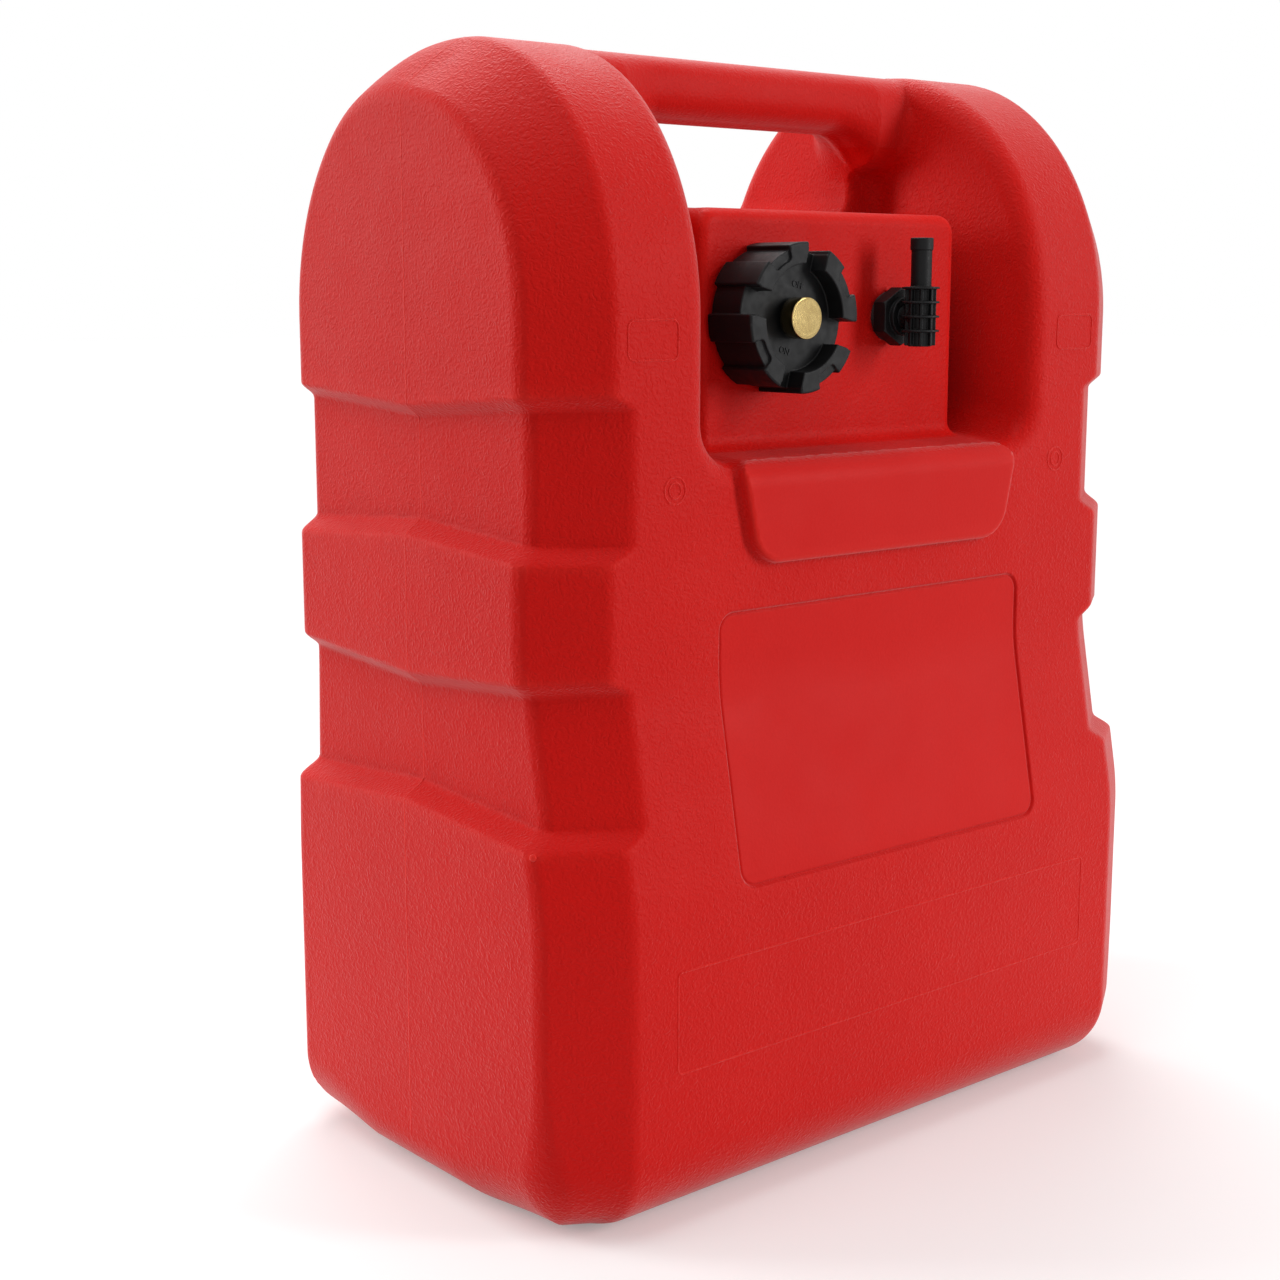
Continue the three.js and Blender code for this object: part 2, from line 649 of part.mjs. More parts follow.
function tankShell() {
  const outer = cut(
    join(
      cut(bodySolid(0), frontRecess(0)).add(panelSolid(0)).subtract(backRecess(0)),
      plateSolid(),
      handleSolid(0),
    ),
    labelCutter(),
  );
  const inner = join(
    cut(bodySolid(WALL), frontRecess(WALL)).add(panelSolid(WALL)).subtract(backRecess(WALL)),
    handleSolid(WALL),
  );
  const inside = panelFace + WALL;
  const neck = disc(NECK_RADIUS, inside, neckRim, NECK_X, NECK_Z);
  const neckBore = disc(NECK_BORE, inside + OVERRUN, neckRim - OVERRUN, NECK_X, NECK_Z);
  const bossBack = inside + PORT_BOSS_LENGTH;
  const bossFront = panelFace + WALL / 2;
  const boss = disc(PORT_BOSS_RADIUS, bossBack, bossFront, OUTLET_X, OUTLET_Z, SMALL_SEGMENTS);
  const portRadius = SPIGOT_RADIUS + PORT_GAP;
  const portFront = panelFace - OVERRUN;
  const port = disc(portRadius, bossBack + OVERRUN, portFront, OUTLET_X, OUTLET_Z, SMALL_SEGMENTS);
  return whole(cut(join(cut(whole(outer), whole(inner)), neck, boss), neckBore, port));
}

// The cap's outline: claws that stand out between sunk grips, with the notches in line with sunk grips.
function capOutline() {
  const grips = 2 * CAP_NOTCHES;
  const pitch = (2 * Math.PI) / grips;
  const claw = pitch * CAP_CLAW_SHARE;
  const flank = (pitch - claw) / 8;
  const sunk = CAP_RADIUS - CAP_GRIP_SINK;
  const shape = new THREE.Shape();
  const point = (radius, angle) => [radius * Math.cos(angle) + NECK_X, radius * Math.sin(angle) + NECK_Z];
  for (let i = 0; i < grips; i++) {
    const middle = CAP_FIRST_NOTCH * DEGREE + (i + 1 / 2) * pitch;
    const places = [
      [sunk, -claw / 2 - flank],
      ...[-claw / 2, -claw / 4, 0, claw / 4, claw / 2].map((angle) => [CAP_RADIUS, angle]),
      [sunk, claw / 2 + flank],
      [sunk, pitch / 2],
    ];
    places.forEach(([radius, angle], k) => {
      const [x, z] = point(radius, middle + angle);
      if (i === 0 && k === 0) shape.moveTo(x, z);
      else shape.lineTo(x, z);
    });
  }
  shape.closePath();
  return shape;
}

function fillerCap() {
  const blank = extrudedFront(capOutline(), capFoot, capFront).intersect(
    turned([
      [0, capFront],
      [CAP_RADIUS - CAP_EDGE, capFront],
      [CAP_RADIUS, capFront + CAP_EDGE],
      [CAP_RADIUS, capFoot],
      [0, capFoot],
    ], NECK_X, NECK_Z, 2 * ROUND_SEGMENTS),
  );
  const dish = disc(CAP_DISH_RADIUS, deckFront, capFront - OVERRUN, NECK_X, NECK_Z);
  const bore = disc(NECK_RADIUS + CAP_BORE_GAP, capFoot + OVERRUN, deckBack, NECK_X, NECK_Z);
  const boss = disc(CAP_BOSS_RADIUS, bossEnd, deckBack - CAP_DECK / 2, NECK_X, NECK_Z, SMALL_SEGMENTS);
  const holeFront = deckFront - OVERRUN;
  const bushHole = disc(BUSH_RADIUS, bossEnd + OVERRUN, holeFront, NECK_X, NECK_Z, SMALL_SEGMENTS);
  const notches = Array.from({ length: CAP_NOTCHES }, (_, i) => {
    const reach = CAP_RADIUS - CAP_DISH_RADIUS / 2;
    const block = new THREE.BoxGeometry(reach, CAP_DISH_DEPTH + OVERRUN, CAP_NOTCH_WIDTH);
    block.translate(CAP_DISH_RADIUS / 2 + OVERRUN + reach / 2, 0, 0);
    block.rotateY(-(CAP_FIRST_NOTCH * DEGREE + (i * 2 * Math.PI) / CAP_NOTCHES));
    return solidOf(block.translate(NECK_X, deckFront - (CAP_DISH_DEPTH + OVERRUN) / 2, NECK_Z));
  });
  return cut(cut(blank, dish, bore, ...notches).add(boss), bushHole);
}

function capLiner() {
  const vents = Array.from({ length: LINER_VENTS }, (_, i) => {
    const angle = (i / LINER_VENTS) * 2 * Math.PI;
    const reach = (CAP_BOSS_RADIUS + NECK_BORE) / 2;
    const [x, z] = [NECK_X + reach * Math.cos(angle), NECK_Z + reach * Math.sin(angle)];
    return disc(LINER_VENT_RADIUS, linerBack + OVERRUN, linerFront - OVERRUN, x, z, HOLE_SEGMENTS);
  });
  const inner = CAP_BOSS_RADIUS + CAP_BORE_GAP;
  return cut(ring(NECK_RADIUS, inner, linerBack, linerFront, NECK_X, NECK_Z), ...vents);
}

const capGasket = () =>
  ring(NECK_RADIUS, NECK_BORE - GASKET_REACH, gasketBack, gasketFront, NECK_X, NECK_Z);

function ventBush() {
  const outer = BUSH_RADIUS - SEAT_GAP;
  const rim = BUSH_RADIUS + BUSH_RIM;
  return turned([
    [bushBore, deckFront], [outer, deckFront], [outer, bossEnd + SEAT_GAP], [rim, bossEnd + SEAT_GAP],
    [rim, bushRimBack], [bushBore, bushRimBack], [bushBore, deckFront],
  ], NECK_X, NECK_Z, SMALL_SEGMENTS);
}

function ventScrew() {
  const groove = VENT_SHANK_RADIUS - CIRCLIP_SINK;
  const grooveFront = circlipFront - SEAT_GAP;
  const grooveBack = circlipBack + SEAT_GAP;
  return turned([
    [0, headFront],
    [VENT_HEAD_RADIUS - VENT_HEAD_EDGE, headFront],
    [VENT_HEAD_RADIUS, headFront + VENT_HEAD_EDGE],
    [VENT_HEAD_RADIUS, headBack],
    [VENT_SHANK_RADIUS, headBack],
    [VENT_SHANK_RADIUS, grooveFront],
    [groove, grooveFront],
    [groove, grooveBack],
    [VENT_SHANK_RADIUS, grooveBack],
    [VENT_SHANK_RADIUS, shankEnd],
    [0, shankEnd],
  ], NECK_X, NECK_Z, SMALL_SEGMENTS);
}

function ventRing() {
  const inner = VENT_SHANK_RADIUS + SEAT_GAP;
  const front = ventRingBack - VENT_RING_THICK;
  return ring(VENT_RING_RADIUS, inner, ventRingBack, front, NECK_X, NECK_Z, SMALL_SEGMENTS);
}

// The circlip is open at one side, where it was pushed on the shank.
function ventCirclip() {
  const inner = VENT_SHANK_RADIUS - CIRCLIP_SINK + SEAT_GAP;
  const mouth = new THREE.BoxGeometry(CIRCLIP_RADIUS, CIRCLIP_THICK + 2 * OVERRUN, CIRCLIP_MOUTH);
  mouth.translate(NECK_X + CIRCLIP_RADIUS / 2 + OVERRUN / 2, circlipFront, NECK_Z);
  return cut(
    ring(CIRCLIP_RADIUS, inner, circlipBack, circlipFront, NECK_X, NECK_Z, SMALL_SEGMENTS),
    solidOf(mouth),
  );
}

// Outlet
const washerFront = panelFace - SEAT_GAP - WASHER_THICK;
const hexBack = washerFront - SEAT_GAP;
const hexFront = hexBack - HEX_THICK;
const elbowY = panelFace - ELBOW_REACH;
const collarFront = elbowY + DISC_RADIUS + SEAT_GAP;
const bossInside = panelFace + WALL + PORT_BOSS_LENGTH;
const innerBarbEnd = bossInside + INNER_BARB_LENGTH;
const elbowHead = OUTLET_Z + ELBOW_HEAD;
const elbowFoot = elbowHead - DISC_THICK - DISC_COUNT * DISC_PITCH;
const stemTop = OUTLET_Z + STEM_TOP;

function outletWasher() {
  const inner = SPIGOT_RADIUS + SEAT_GAP;
  const back = panelFace - SEAT_GAP;
  return ring(WASHER_RADIUS, inner, back, washerFront, OUTLET_X, OUTLET_Z, SMALL_SEGMENTS);
}

function outletElbow() {
  // Hexagon with a corner up, its front edge eased all round
  const hexCorner = HEX_ACROSS / Math.sqrt(3);
  const hexagon = new THREE.Shape(Array.from({ length: 6 }, (_, i) => {
    const angle = QUARTER_TURN + (i / 6) * 2 * Math.PI;
    const [across, up] = [hexCorner * Math.cos(angle), hexCorner * Math.sin(angle)];
    return new THREE.Vector2(OUTLET_X + across, OUTLET_Z + up);
  }));
  const hex = extrudedFront(hexagon, hexBack, hexFront).intersect(
    turned([
      [0, hexFront],
      [HEX_ACROSS / 2, hexFront],
      [hexCorner, hexFront + HEX_EDGE],
      [hexCorner, hexBack],
      [0, hexBack],
    ], OUTLET_X, OUTLET_Z),
  );
  // Everything on the outlet's own axis: inner barb, spigot, collar and branch
  const barb = INNER_BARB_RADIUS + INNER_BARB_LIP;
  const barbStart = innerBarbEnd - INNER_BARB_TIP;
  const axle = turned([
    [0, elbowY], [ELBOW_CORE, elbowY], [ELBOW_CORE, collarFront], [COLLAR_RADIUS, collarFront],
    [COLLAR_RADIUS, hexFront + HEX_EDGE], [SPIGOT_RADIUS, hexFront + HEX_EDGE],
    [SPIGOT_RADIUS, bossInside], [INNER_BARB_RADIUS, bossInside], [INNER_BARB_RADIUS, barbStart],
    [barb, barbStart], [INNER_BARB_RADIUS, innerBarbEnd], [0, innerBarbEnd],
  ], OUTLET_X, OUTLET_Z, SMALL_SEGMENTS);
  // The upright body, its discs and the hose stem
  const profile = [[0, elbowFoot], [ELBOW_CORE, elbowFoot]];
  for (let i = 0; i < DISC_COUNT; i++) {
    const low = elbowHead - DISC_THICK - (DISC_COUNT - 1 - i) * DISC_PITCH;
    profile.push(
      [ELBOW_CORE, low], [DISC_RADIUS, low + DISC_THICK / 2 - DISC_TIP / 2],
      [DISC_RADIUS, low + DISC_THICK / 2 + DISC_TIP / 2], [ELBOW_CORE, low + DISC_THICK],
    );
  }
  profile.push(
    [STEM_RADIUS, elbowHead], [STEM_RADIUS, stemTop - BARB_LENGTH], [STEM_BARB, stemTop - BARB_LENGTH],
    [STEM_BARB, stemTop - BARB_LENGTH / 2], [STEM_RADIUS, stemTop], [0, stemTop],
  );
  const upright = turnedUpright(profile, OUTLET_X, elbowY);
  const fins = Array.from({ length: FIN_COUNT / 2 }, (_, i) => {
    const fin = new THREE.BoxGeometry(2 * FIN_RADIUS, FIN_THICK, elbowHead - elbowFoot - DISC_THICK);
    fin.rotateZ((i / FIN_COUNT) * 2 * Math.PI);
    return solidOf(fin.translate(OUTLET_X, elbowY, (elbowHead + elbowFoot - DISC_THICK) / 2));
  });
  const bores = [
    disc(STEM_BORE, innerBarbEnd + OVERRUN, elbowY, OUTLET_X, OUTLET_Z, HOLE_SEGMENTS),
    turnedUpright([
      [0, OUTLET_Z - STEM_BORE], [STEM_BORE, OUTLET_Z - STEM_BORE], [STEM_BORE, stemTop + OVERRUN],
      [0, stemTop + OVERRUN],
    ], OUTLET_X, elbowY, HOLE_SEGMENTS),
  ];
  return cut(join(hex, axle, upright, ...fins), ...bores);
}

// Pickup line
const strainerFoot = WALL + SEAT_GAP;
const weightTop = strainerFoot + WEIGHT_THICK;
const cageFoot = weightTop + SEAT_GAP;
const windowFoot = cageFoot + STRAINER_DECK;
const windowTop = windowFoot + STRAINER_WINDOW;
const cageTop = windowTop + STRAINER_DECK;
const strainerTop = cageTop + STRAINER_SPIGOT;
const hoseFoot = cageTop + HOSE_CLEAR;
const hoseHead = bossInside + HOSE_CLEAR;

// The hose leaves the inner barb straight back, bends down and ends on the strainer's spigot.
function pickupHose() {
  const turnY = innerBarbEnd + 2 * HOSE_RADIUS;
  const fall = (share) => hoseFoot + (OUTLET_Z - hoseFoot) * share;
  const drift = (share) => STRAINER_X + (OUTLET_X - STRAINER_X) * share;
  const path = new THREE.CatmullRomCurve3([
    new THREE.Vector3(OUTLET_X, hoseHead, OUTLET_Z),
    new THREE.Vector3(OUTLET_X, (hoseHead + innerBarbEnd) / 2, OUTLET_Z),
    new THREE.Vector3(OUTLET_X, innerBarbEnd + HOSE_CLEAR, OUTLET_Z),
    new THREE.Vector3(OUTLET_X, turnY, fall(HOSE_TURN_SHARE)),
    ...HOSE_FALL_SHARES.map((share) => new THREE.Vector3(drift(share), STRAINER_Y, fall(share))),
    new THREE.Vector3(STRAINER_X, STRAINER_Y, strainerTop),
    new THREE.Vector3(STRAINER_X, STRAINER_Y, hoseFoot),
  ], false, "centripetal");
  const section = new THREE.Shape();
  section.absarc(0, 0, HOSE_RADIUS, 0, 2 * Math.PI, false);
  const hole = new THREE.Path();
  hole.absarc(0, 0, HOSE_BORE, 0, 2 * Math.PI, true);
  section.holes.push(hole);
  const geometry = new THREE.ExtrudeGeometry(section, {
    steps: HOSE_STEPS, extrudePath: path, curveSegments: HOLE_SEGMENTS / 2, bevelEnabled: false,
  });
  return solidOf(geometry);
}

// A flat spring clip round the hose, with two ears to squeeze it open. It is built on an upright axis.
function springClip() {
  const inner = HOSE_RADIUS + SEAT_GAP;
  const outer = inner + CLIP_THICK;
  const half = CLIP_WIDTH / 2;
  const section = [[inner, -half], [outer, -half], [outer, half], [inner, half], [inner, -half]];
  const band = turnedUpright(section, 0, 0);
  const mouth = new THREE.BoxGeometry(2 * outer, CLIP_EAR_GAP, CLIP_WIDTH + OVERRUN);
  const ears = [-1, 1].map((side) => {
    const ear = new THREE.BoxGeometry(CLIP_EAR + CLIP_THICK, CLIP_THICK, CLIP_WIDTH);
    return solidOf(ear.translate(outer + CLIP_EAR / 2, side * (CLIP_EAR_GAP + CLIP_THICK) / 2, 0));
  });
  return join(cut(band, solidOf(mouth.translate(outer, 0, 0))), ...ears);
}

function strainerBody() {
  const post = STRAINER_RADIUS - SCREEN_WALL - 2 * SEAT_GAP;
  const foot = turnedUpright([
    [0, cageFoot], [STRAINER_RADIUS, cageFoot], [STRAINER_RADIUS, windowFoot], [0, windowFoot],
  ], STRAINER_X, STRAINER_Y);
  const spigot = HOSE_BORE - SEAT_GAP;
  const head = turnedUpright([
    [0, windowTop], [STRAINER_RADIUS, windowTop], [STRAINER_RADIUS, cageTop], [spigot, cageTop],
    [spigot, strainerTop], [0, strainerTop],
  ], STRAINER_X, STRAINER_Y);
  const posts = Array.from({ length: STRAINER_POSTS }, (_, i) => {
    const angle = ((i + 1 / 2) / STRAINER_POSTS) * 2 * Math.PI;
    const bar = new THREE.BoxGeometry(STRAINER_POST, STRAINER_POST, STRAINER_WINDOW + STRAINER_DECK);
    bar.translate(post - STRAINER_POST, 0, 0).rotateZ(angle);
    return solidOf(bar.translate(STRAINER_X, STRAINER_Y, (windowFoot + windowTop) / 2));
  });
  const bore = turnedUpright([
    [0, windowTop - OVERRUN], [STEM_BORE, windowTop - OVERRUN], [STEM_BORE, strainerTop + OVERRUN],
    [0, strainerTop + OVERRUN],
  ], STRAINER_X, STRAINER_Y, HOLE_SEGMENTS);
  return cut(join(foot, head, ...posts), bore);
}

function strainerScreen() {
  const outer = STRAINER_RADIUS - SEAT_GAP;
  const [low, high] = [windowFoot + SEAT_GAP, windowTop - SEAT_GAP];
  const inner = outer - SCREEN_WALL;
  return turnedUpright([
    [inner, low], [outer, low], [outer, high], [inner, high], [inner, low],
  ], STRAINER_X, STRAINER_Y);
}

const strainerWeight = () =>
  turnedUpright([
    [0, strainerFoot],
    [STRAINER_RADIUS - WEIGHT_EDGE, strainerFoot],
    [STRAINER_RADIUS, strainerFoot + WEIGHT_EDGE],
    [STRAINER_RADIUS, weightTop],
    [0, weightTop],
  ], STRAINER_X, STRAINER_Y);

// Assembly
const finish = (color, roughness, metalness) =>
  new THREE.MeshStandardMaterial({ color, roughness, metalness });
const redPlastic = finish(0xc9302a, 0.5, 0);
const blackPlastic = finish(0x262628, 0.5, 0);
const whitePlastic = finish(0xd9d6cc, 0.5, 0);
const rubber = finish(0x1b1b1b, 0.8, 0);
const brass = finish(0xbea569, 0.3, 1);
const steel = finish(0xb8babd, 0.35, 1);

function part(name, solid, material) {
  const mesh = new THREE.Mesh(geometryOf(solid), material);
  mesh.name = name;
  return mesh;
}

const tank = new THREE.Group();
tank.position.y = (FRONT_FLARE - BACK_FLARE) / 2; // brings the middle of the can over the origin
tank.add(part("tank_shell", tankShell(), redPlastic));

const cap = new THREE.Group();
cap.add(part("filler_cap", fillerCap(), blackPlastic));
cap.add(part("cap_liner", capLiner(), whitePlastic));
cap.add(part("cap_gasket", capGasket(), rubber));
cap.add(part("vent_bush", ventBush(), brass));
cap.add(part("vent_screw", ventScrew(), brass));
cap.add(part("vent_oring", ventRing(), rubber));
cap.add(part("vent_circlip", ventCirclip(), steel));
tank.add(cap);

const outlet = new THREE.Group();
outlet.add(part("outlet_elbow", outletElbow(), blackPlastic));
outlet.add(part("outlet_gasket", outletWasher(), rubber));
outlet.add(part("pickup_tube", pickupHose(), rubber));
const pickupClip = part("pickup_clip", springClip(), steel);
pickupClip.rotation.x = QUARTER_TURN;
pickupClip.position.set(OUTLET_X, (hoseHead + innerBarbEnd) / 2, OUTLET_Z);
outlet.add(pickupClip);
const strainerClip = part("strainer_clip", springClip(), steel);
strainerClip.position.set(STRAINER_X, STRAINER_Y, (hoseFoot + strainerTop) / 2);
outlet.add(strainerClip);
outlet.add(part("strainer_body", strainerBody(), whitePlastic));
outlet.add(part("strainer_screen", strainerScreen(), steel));
outlet.add(part("strainer_weight", strainerWeight(), steel));
tank.add(outlet);

export default tank;
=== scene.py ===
"""Looks of an outboard fuel tank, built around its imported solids.

Forms are drawn in millimetres in the mould's frame, whose parting plane is y = 0 and whose front faces -Y.
A form is a function of x, y and z that is below zero inside, zero on the surface and above zero outside.
"""
import json
import math

import bmesh
import bpy
import numpy as np
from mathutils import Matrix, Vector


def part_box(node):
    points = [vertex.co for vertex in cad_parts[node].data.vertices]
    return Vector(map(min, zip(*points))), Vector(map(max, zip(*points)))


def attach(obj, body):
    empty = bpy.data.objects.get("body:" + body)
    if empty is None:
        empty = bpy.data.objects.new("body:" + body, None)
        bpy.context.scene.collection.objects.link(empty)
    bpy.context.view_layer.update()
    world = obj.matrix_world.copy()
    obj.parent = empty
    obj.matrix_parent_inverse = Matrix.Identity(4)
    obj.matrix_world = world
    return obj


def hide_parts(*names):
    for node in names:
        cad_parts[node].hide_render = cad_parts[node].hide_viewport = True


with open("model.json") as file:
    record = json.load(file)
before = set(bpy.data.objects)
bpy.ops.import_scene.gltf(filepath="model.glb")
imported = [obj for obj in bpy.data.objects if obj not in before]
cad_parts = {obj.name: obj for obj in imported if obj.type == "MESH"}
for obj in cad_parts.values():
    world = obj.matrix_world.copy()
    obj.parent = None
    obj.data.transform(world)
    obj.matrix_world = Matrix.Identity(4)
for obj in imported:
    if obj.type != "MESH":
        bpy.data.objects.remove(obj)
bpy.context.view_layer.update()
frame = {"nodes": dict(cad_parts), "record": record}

MM = 0.001
MOULD_Y = 6.5  # the parting plane, from the middle of the can
WALL = 3.2

# The can
BODY_TOP = 497.6
FACE_DEPTH = 100.0
FRONT_FLARE, BACK_FLARE = 16.3, 3.6
FLARE_TOP, FLARE_FOOT = 228.0, 141.0
BACK_CORNER_DEPTH, CORNER_ROUND, LOW_CORNER_ROUND, LOW_CORNER_TOP = 12.5, 4.0, 16.0, 75.0
ARCH_BASE, FRONT_ARCH_DROP, BACK_ARCH_DROP, BACK_BULGE = 381.0, 25.0, 16.0, 0.7
FRONT_FOOT, BACK_FOOT, END_FOOT = 35.0, 34.0, 21.0
SLOPE_BLEND, FACE_BLEND = 0.12, 0.08
SLANT_LEAN, SLANT_FROM, SLANT_SPAN = 0.16, 0.85, 0.3
# Where the sizes of the front pass into those of the back, and the foot's radius into that of the ends
CORNER_BLEND, FOOT_BLEND, ARCH_BACK, ARCH_BLEND, BULGE_FROM, BULGE_BLEND = 40, 80, 60, 80, -10, 30
FOOT_FROM, FOOT_SPAN, FOOT_DEPTH_FROM, FOOT_DEPTH_SPAN = -0.3, 1.6, 15, 75

# Bands from the low one up: half widths on the parting plane and of the face, and depth of the front corner
BANDS = [
    (190.4, 156.5, 21.5),
    (179.8, 145.5, 23.5),
    (187.2, 155.5, 21.5),
    (178.7, 143.5, 24.0),
    (185.2, 153.0, 21.5),
]
# Shoulders between them: level, height, and change of level towards the parting plane
SHOULDERS = [(169.0, 9.0, 6.0), (230.5, 8.0, -6.0), (284.0, 8.5, 6.0), (345.5, 7.0, -6.0)]

# Recess in front of the handle, and the gap behind it
RECESS_HALF, RECESS_FOOT, RECESS_CORNER, RECESS_RIM, RECESS_COVE = 102.8, 322.0, 17.0, 11.0, 9.0
RECESS_SIDE_DRAFT, RECESS_FOOT_DRAFT = 4.0, 12.0
GAP_HALF, GAP_FOOT, GAP_CORNER, GAP_RIM, GAP_INNER_RIM, GAP_DRAFT = 84.0, 428.0, 12.0, 10.0, 3.0, 4.0
PANEL_DEPTH, PANEL_HALF, PANEL_CORNER, PANEL_EDGE, PANEL_DRAFT = 69.6, 81.8, 9.0, 6.0, 3.0
STEP_DEPTH, STEP_EDGE, COVE = 30.0, 7.0, 6.0
PLATE_RISE, PLATE_FOOT, PLATE_TOP_HALF, PLATE_FOOT_HALF = 5.5, 279.0, 89.0, 79.0
PLATE_CORNER, PLATE_EDGE, PLATE_COVE = 13.0, 2.5, 2.0
LABEL_HALF, LABEL_FOOT, LABEL_TOP, LABEL_CORNER, LABEL_SINK, LABEL_EDGE = 96.6, 143.6, 259.3, 8.0, 0.8, 1.4
GROOVE_DEPTH, GROOVE_HALF = 0.7, 0.7
HANDLE_TOP, HANDLE_HEIGHT, HANDLE_WIDTH, HANDLE_FLARE, HANDLE_ROOT = 496.8, 27.6, 34.0, 17.0, 24.0
HANDLE_POWER, HANDLE_COVE = 2.5, 7.0

# Low marks of the mould: rings by middle and radius, frames by middle, half sizes and corner radius
ROUND_MARKS = [(-122.4, 313.0, 5.6), (122.4, 313.0, 5.6), (-122.4, 313.0, 3.2), (122.4, 313.0, 3.2)]
FRAMES = [(-134.0, 373.6, 13.2, 8.0, 3.0), (134.0, 373.6, 13.2, 8.0, 3.0), (0.0, 92.8, 134.0, 22.2, 2.0)]
FRAME_HEIGHTS = [0.35, 0.35, 0.22]
SEAM_WIDTH, SEAM_HEIGHT = 0.8, 0.1
NUB, NUB_RADIUS, NUB_HEIGHT = (-188.6, -89.7, 168.8), 1.5, 0.8

# Neck, its thread and the cap, measured out from the panel along the neck
NECK_X, NECK_Z, NECK_RADIUS, NECK_BORE, NECK_LENGTH = -47.0, 381.5, 26.4, 22.4, 12.0
THREAD_PITCH, THREAD_DEPTH, THREAD_HALF, CAP_THREAD_HALF = 5.0, 1.5, 1.1, 0.8
THREAD_FOOT, CAP_THREAD_FOOT, THREAD_END = 3.0, 4.2, 11.0
CAP_FOOT, CAP_FRONT, CAP_RADIUS, CAP_EDGE = 1.6, 28.5, 32.0, 1.1
DISH_RADIUS, DISH_FLOOR, DECK_BACK = 22.8, 19.5, 16.5
CAP_BORE, CAP_BOSS, BOSS_END, BUSH_HOLE = 27.3, 9.0, 9.3, 5.0
NOTCH_HALF, GRIP_SINK, CLAW_HALF = 5.8, 2.2, 11.0
FIRST_NOTCH, NOTCHES = 75.0, 4
INDENT_SINK, INDENT_INNER, INDENT_ROUND = 1.3, 25.6, 2.0
WORD_REACH, WORD_SIZE, WORD_RISE = 14.4, 4.0, 0.35
SCREW_RADIUS, SCREW_FRONT, SCREW_BACK, SCREW_EDGE, SHANK_RADIUS = 8.9, 29.5, 21.7, 0.5, 2.9

# Outlet, measured out from the panel along its own axis
OUTLET_X, OUTLET_Z = 34.4, 381.3
PORT_RADIUS, PORT_BOSS, PORT_END = 8.05, 14.0, 10.2
HEX_ACROSS, HEX_BACK, HEX_FRONT, HEX_EDGE = 23.0, 2.1, 9.5, 1.0
COLLAR_RADIUS, COLLAR_FRONT, SPIGOT_RADIUS = 8.6, 11.6, 7.7
WASHER_RADIUS, WASHER_HALF = 11.2, 0.9
BARB_RADIUS, BARB_LIP, BARB_END, BARB_TIP = 4.1, 0.5, 25.2, 3.0
ELBOW_REACH, ELBOW_CORE, ELBOW_FOOT, ELBOW_HEAD = 20.4, 5.2, 13.3, 13.6
DISC_RADIUS, DISC_HALF, DISC_COUNT, DISC_PITCH = 8.5, 0.65, 4, 6.4
FIN_COUNT, FIN_HALF, FIN_RADIUS = 8, 0.7, 7.0
STEM_RADIUS, STEM_BARB, STEM_TOP, STEM_BARB_LENGTH, STEM_BORE = 4.7, 5.2, 35.2, 5.5, 3.1

# The boxes in which the skin and the inside are drawn, grid cells, and the most triangles for each mesh
SKIN_BOX = (-194, -118, -1), (194, 105, 499)
INSIDE_BOX = (-190, -116, 1), (190, 102, 496)
SKIN_CELL, INSIDE_CELL, NECK_CELL, BOSS_CELL, CAP_CELL, OUTLET_CELL = 1.7, 5.0, 0.5, 0.8, 0.42, 0.4
SKIN_TRIANGLES, NECK_TRIANGLES, CAP_TRIANGLES, OUTLET_TRIANGLES = 150_000, 40_000, 150_000, 150_000
GROOVE_BAND, GROOVE_EDGE = 1.5, 0.6

# Strength of the light from all round, and how far the grain's cells wander, in metres
SKY_LIGHT, GRAIN_BEND = 0.4, 0.0022


# Forms

def ease(share):
    """A rise from 0 to 1 that starts and ends smoothly."""
    share = np.clip(share, 0, 1)
    return share * share * (3 - 2 * share)


def soft_min(a, b, blend):
    """The lesser of two values, rounded off where they are nearly the same."""
    near = np.maximum(blend - np.abs(a - b), 0) / blend
    return np.minimum(a, b) - near * near * blend / 4


def both(a, b, radius):
    """Where two forms overlap, with an outer edge of that radius."""
    past_a, past_b = np.maximum(a + radius, 0), np.maximum(b + radius, 0)
    return np.minimum(np.maximum(a, b), -radius) + np.hypot(past_a, past_b)


def either(a, b, radius):
    """Two forms joined, with a hollow fillet of that radius."""
    near_a, near_b = np.maximum(radius - a, 0), np.maximum(radius - b, 0)
    return np.maximum(np.minimum(a, b), radius) - np.hypot(near_a, near_b)


def band_sizes(z, edge):
    """The sizes in BANDS at a level. edge is 0 on the parting plane and 1 at the corner."""
    sizes = [np.full_like(z, size) for size in BANDS[0]]
    for (level, height, lift), below, above in zip(SHOULDERS, BANDS, BANDS[1:]):
        rise = ease((z - level - lift * (1 - edge)) / height)
        for size, a, b in zip(sizes, below, above):
            size += (b - a) * rise
    return sizes


def at_front(y, blend):
    """1 in front of the parting plane and 0 behind it, with a smooth change of that width between."""
    return ease(0.5 - y / blend)


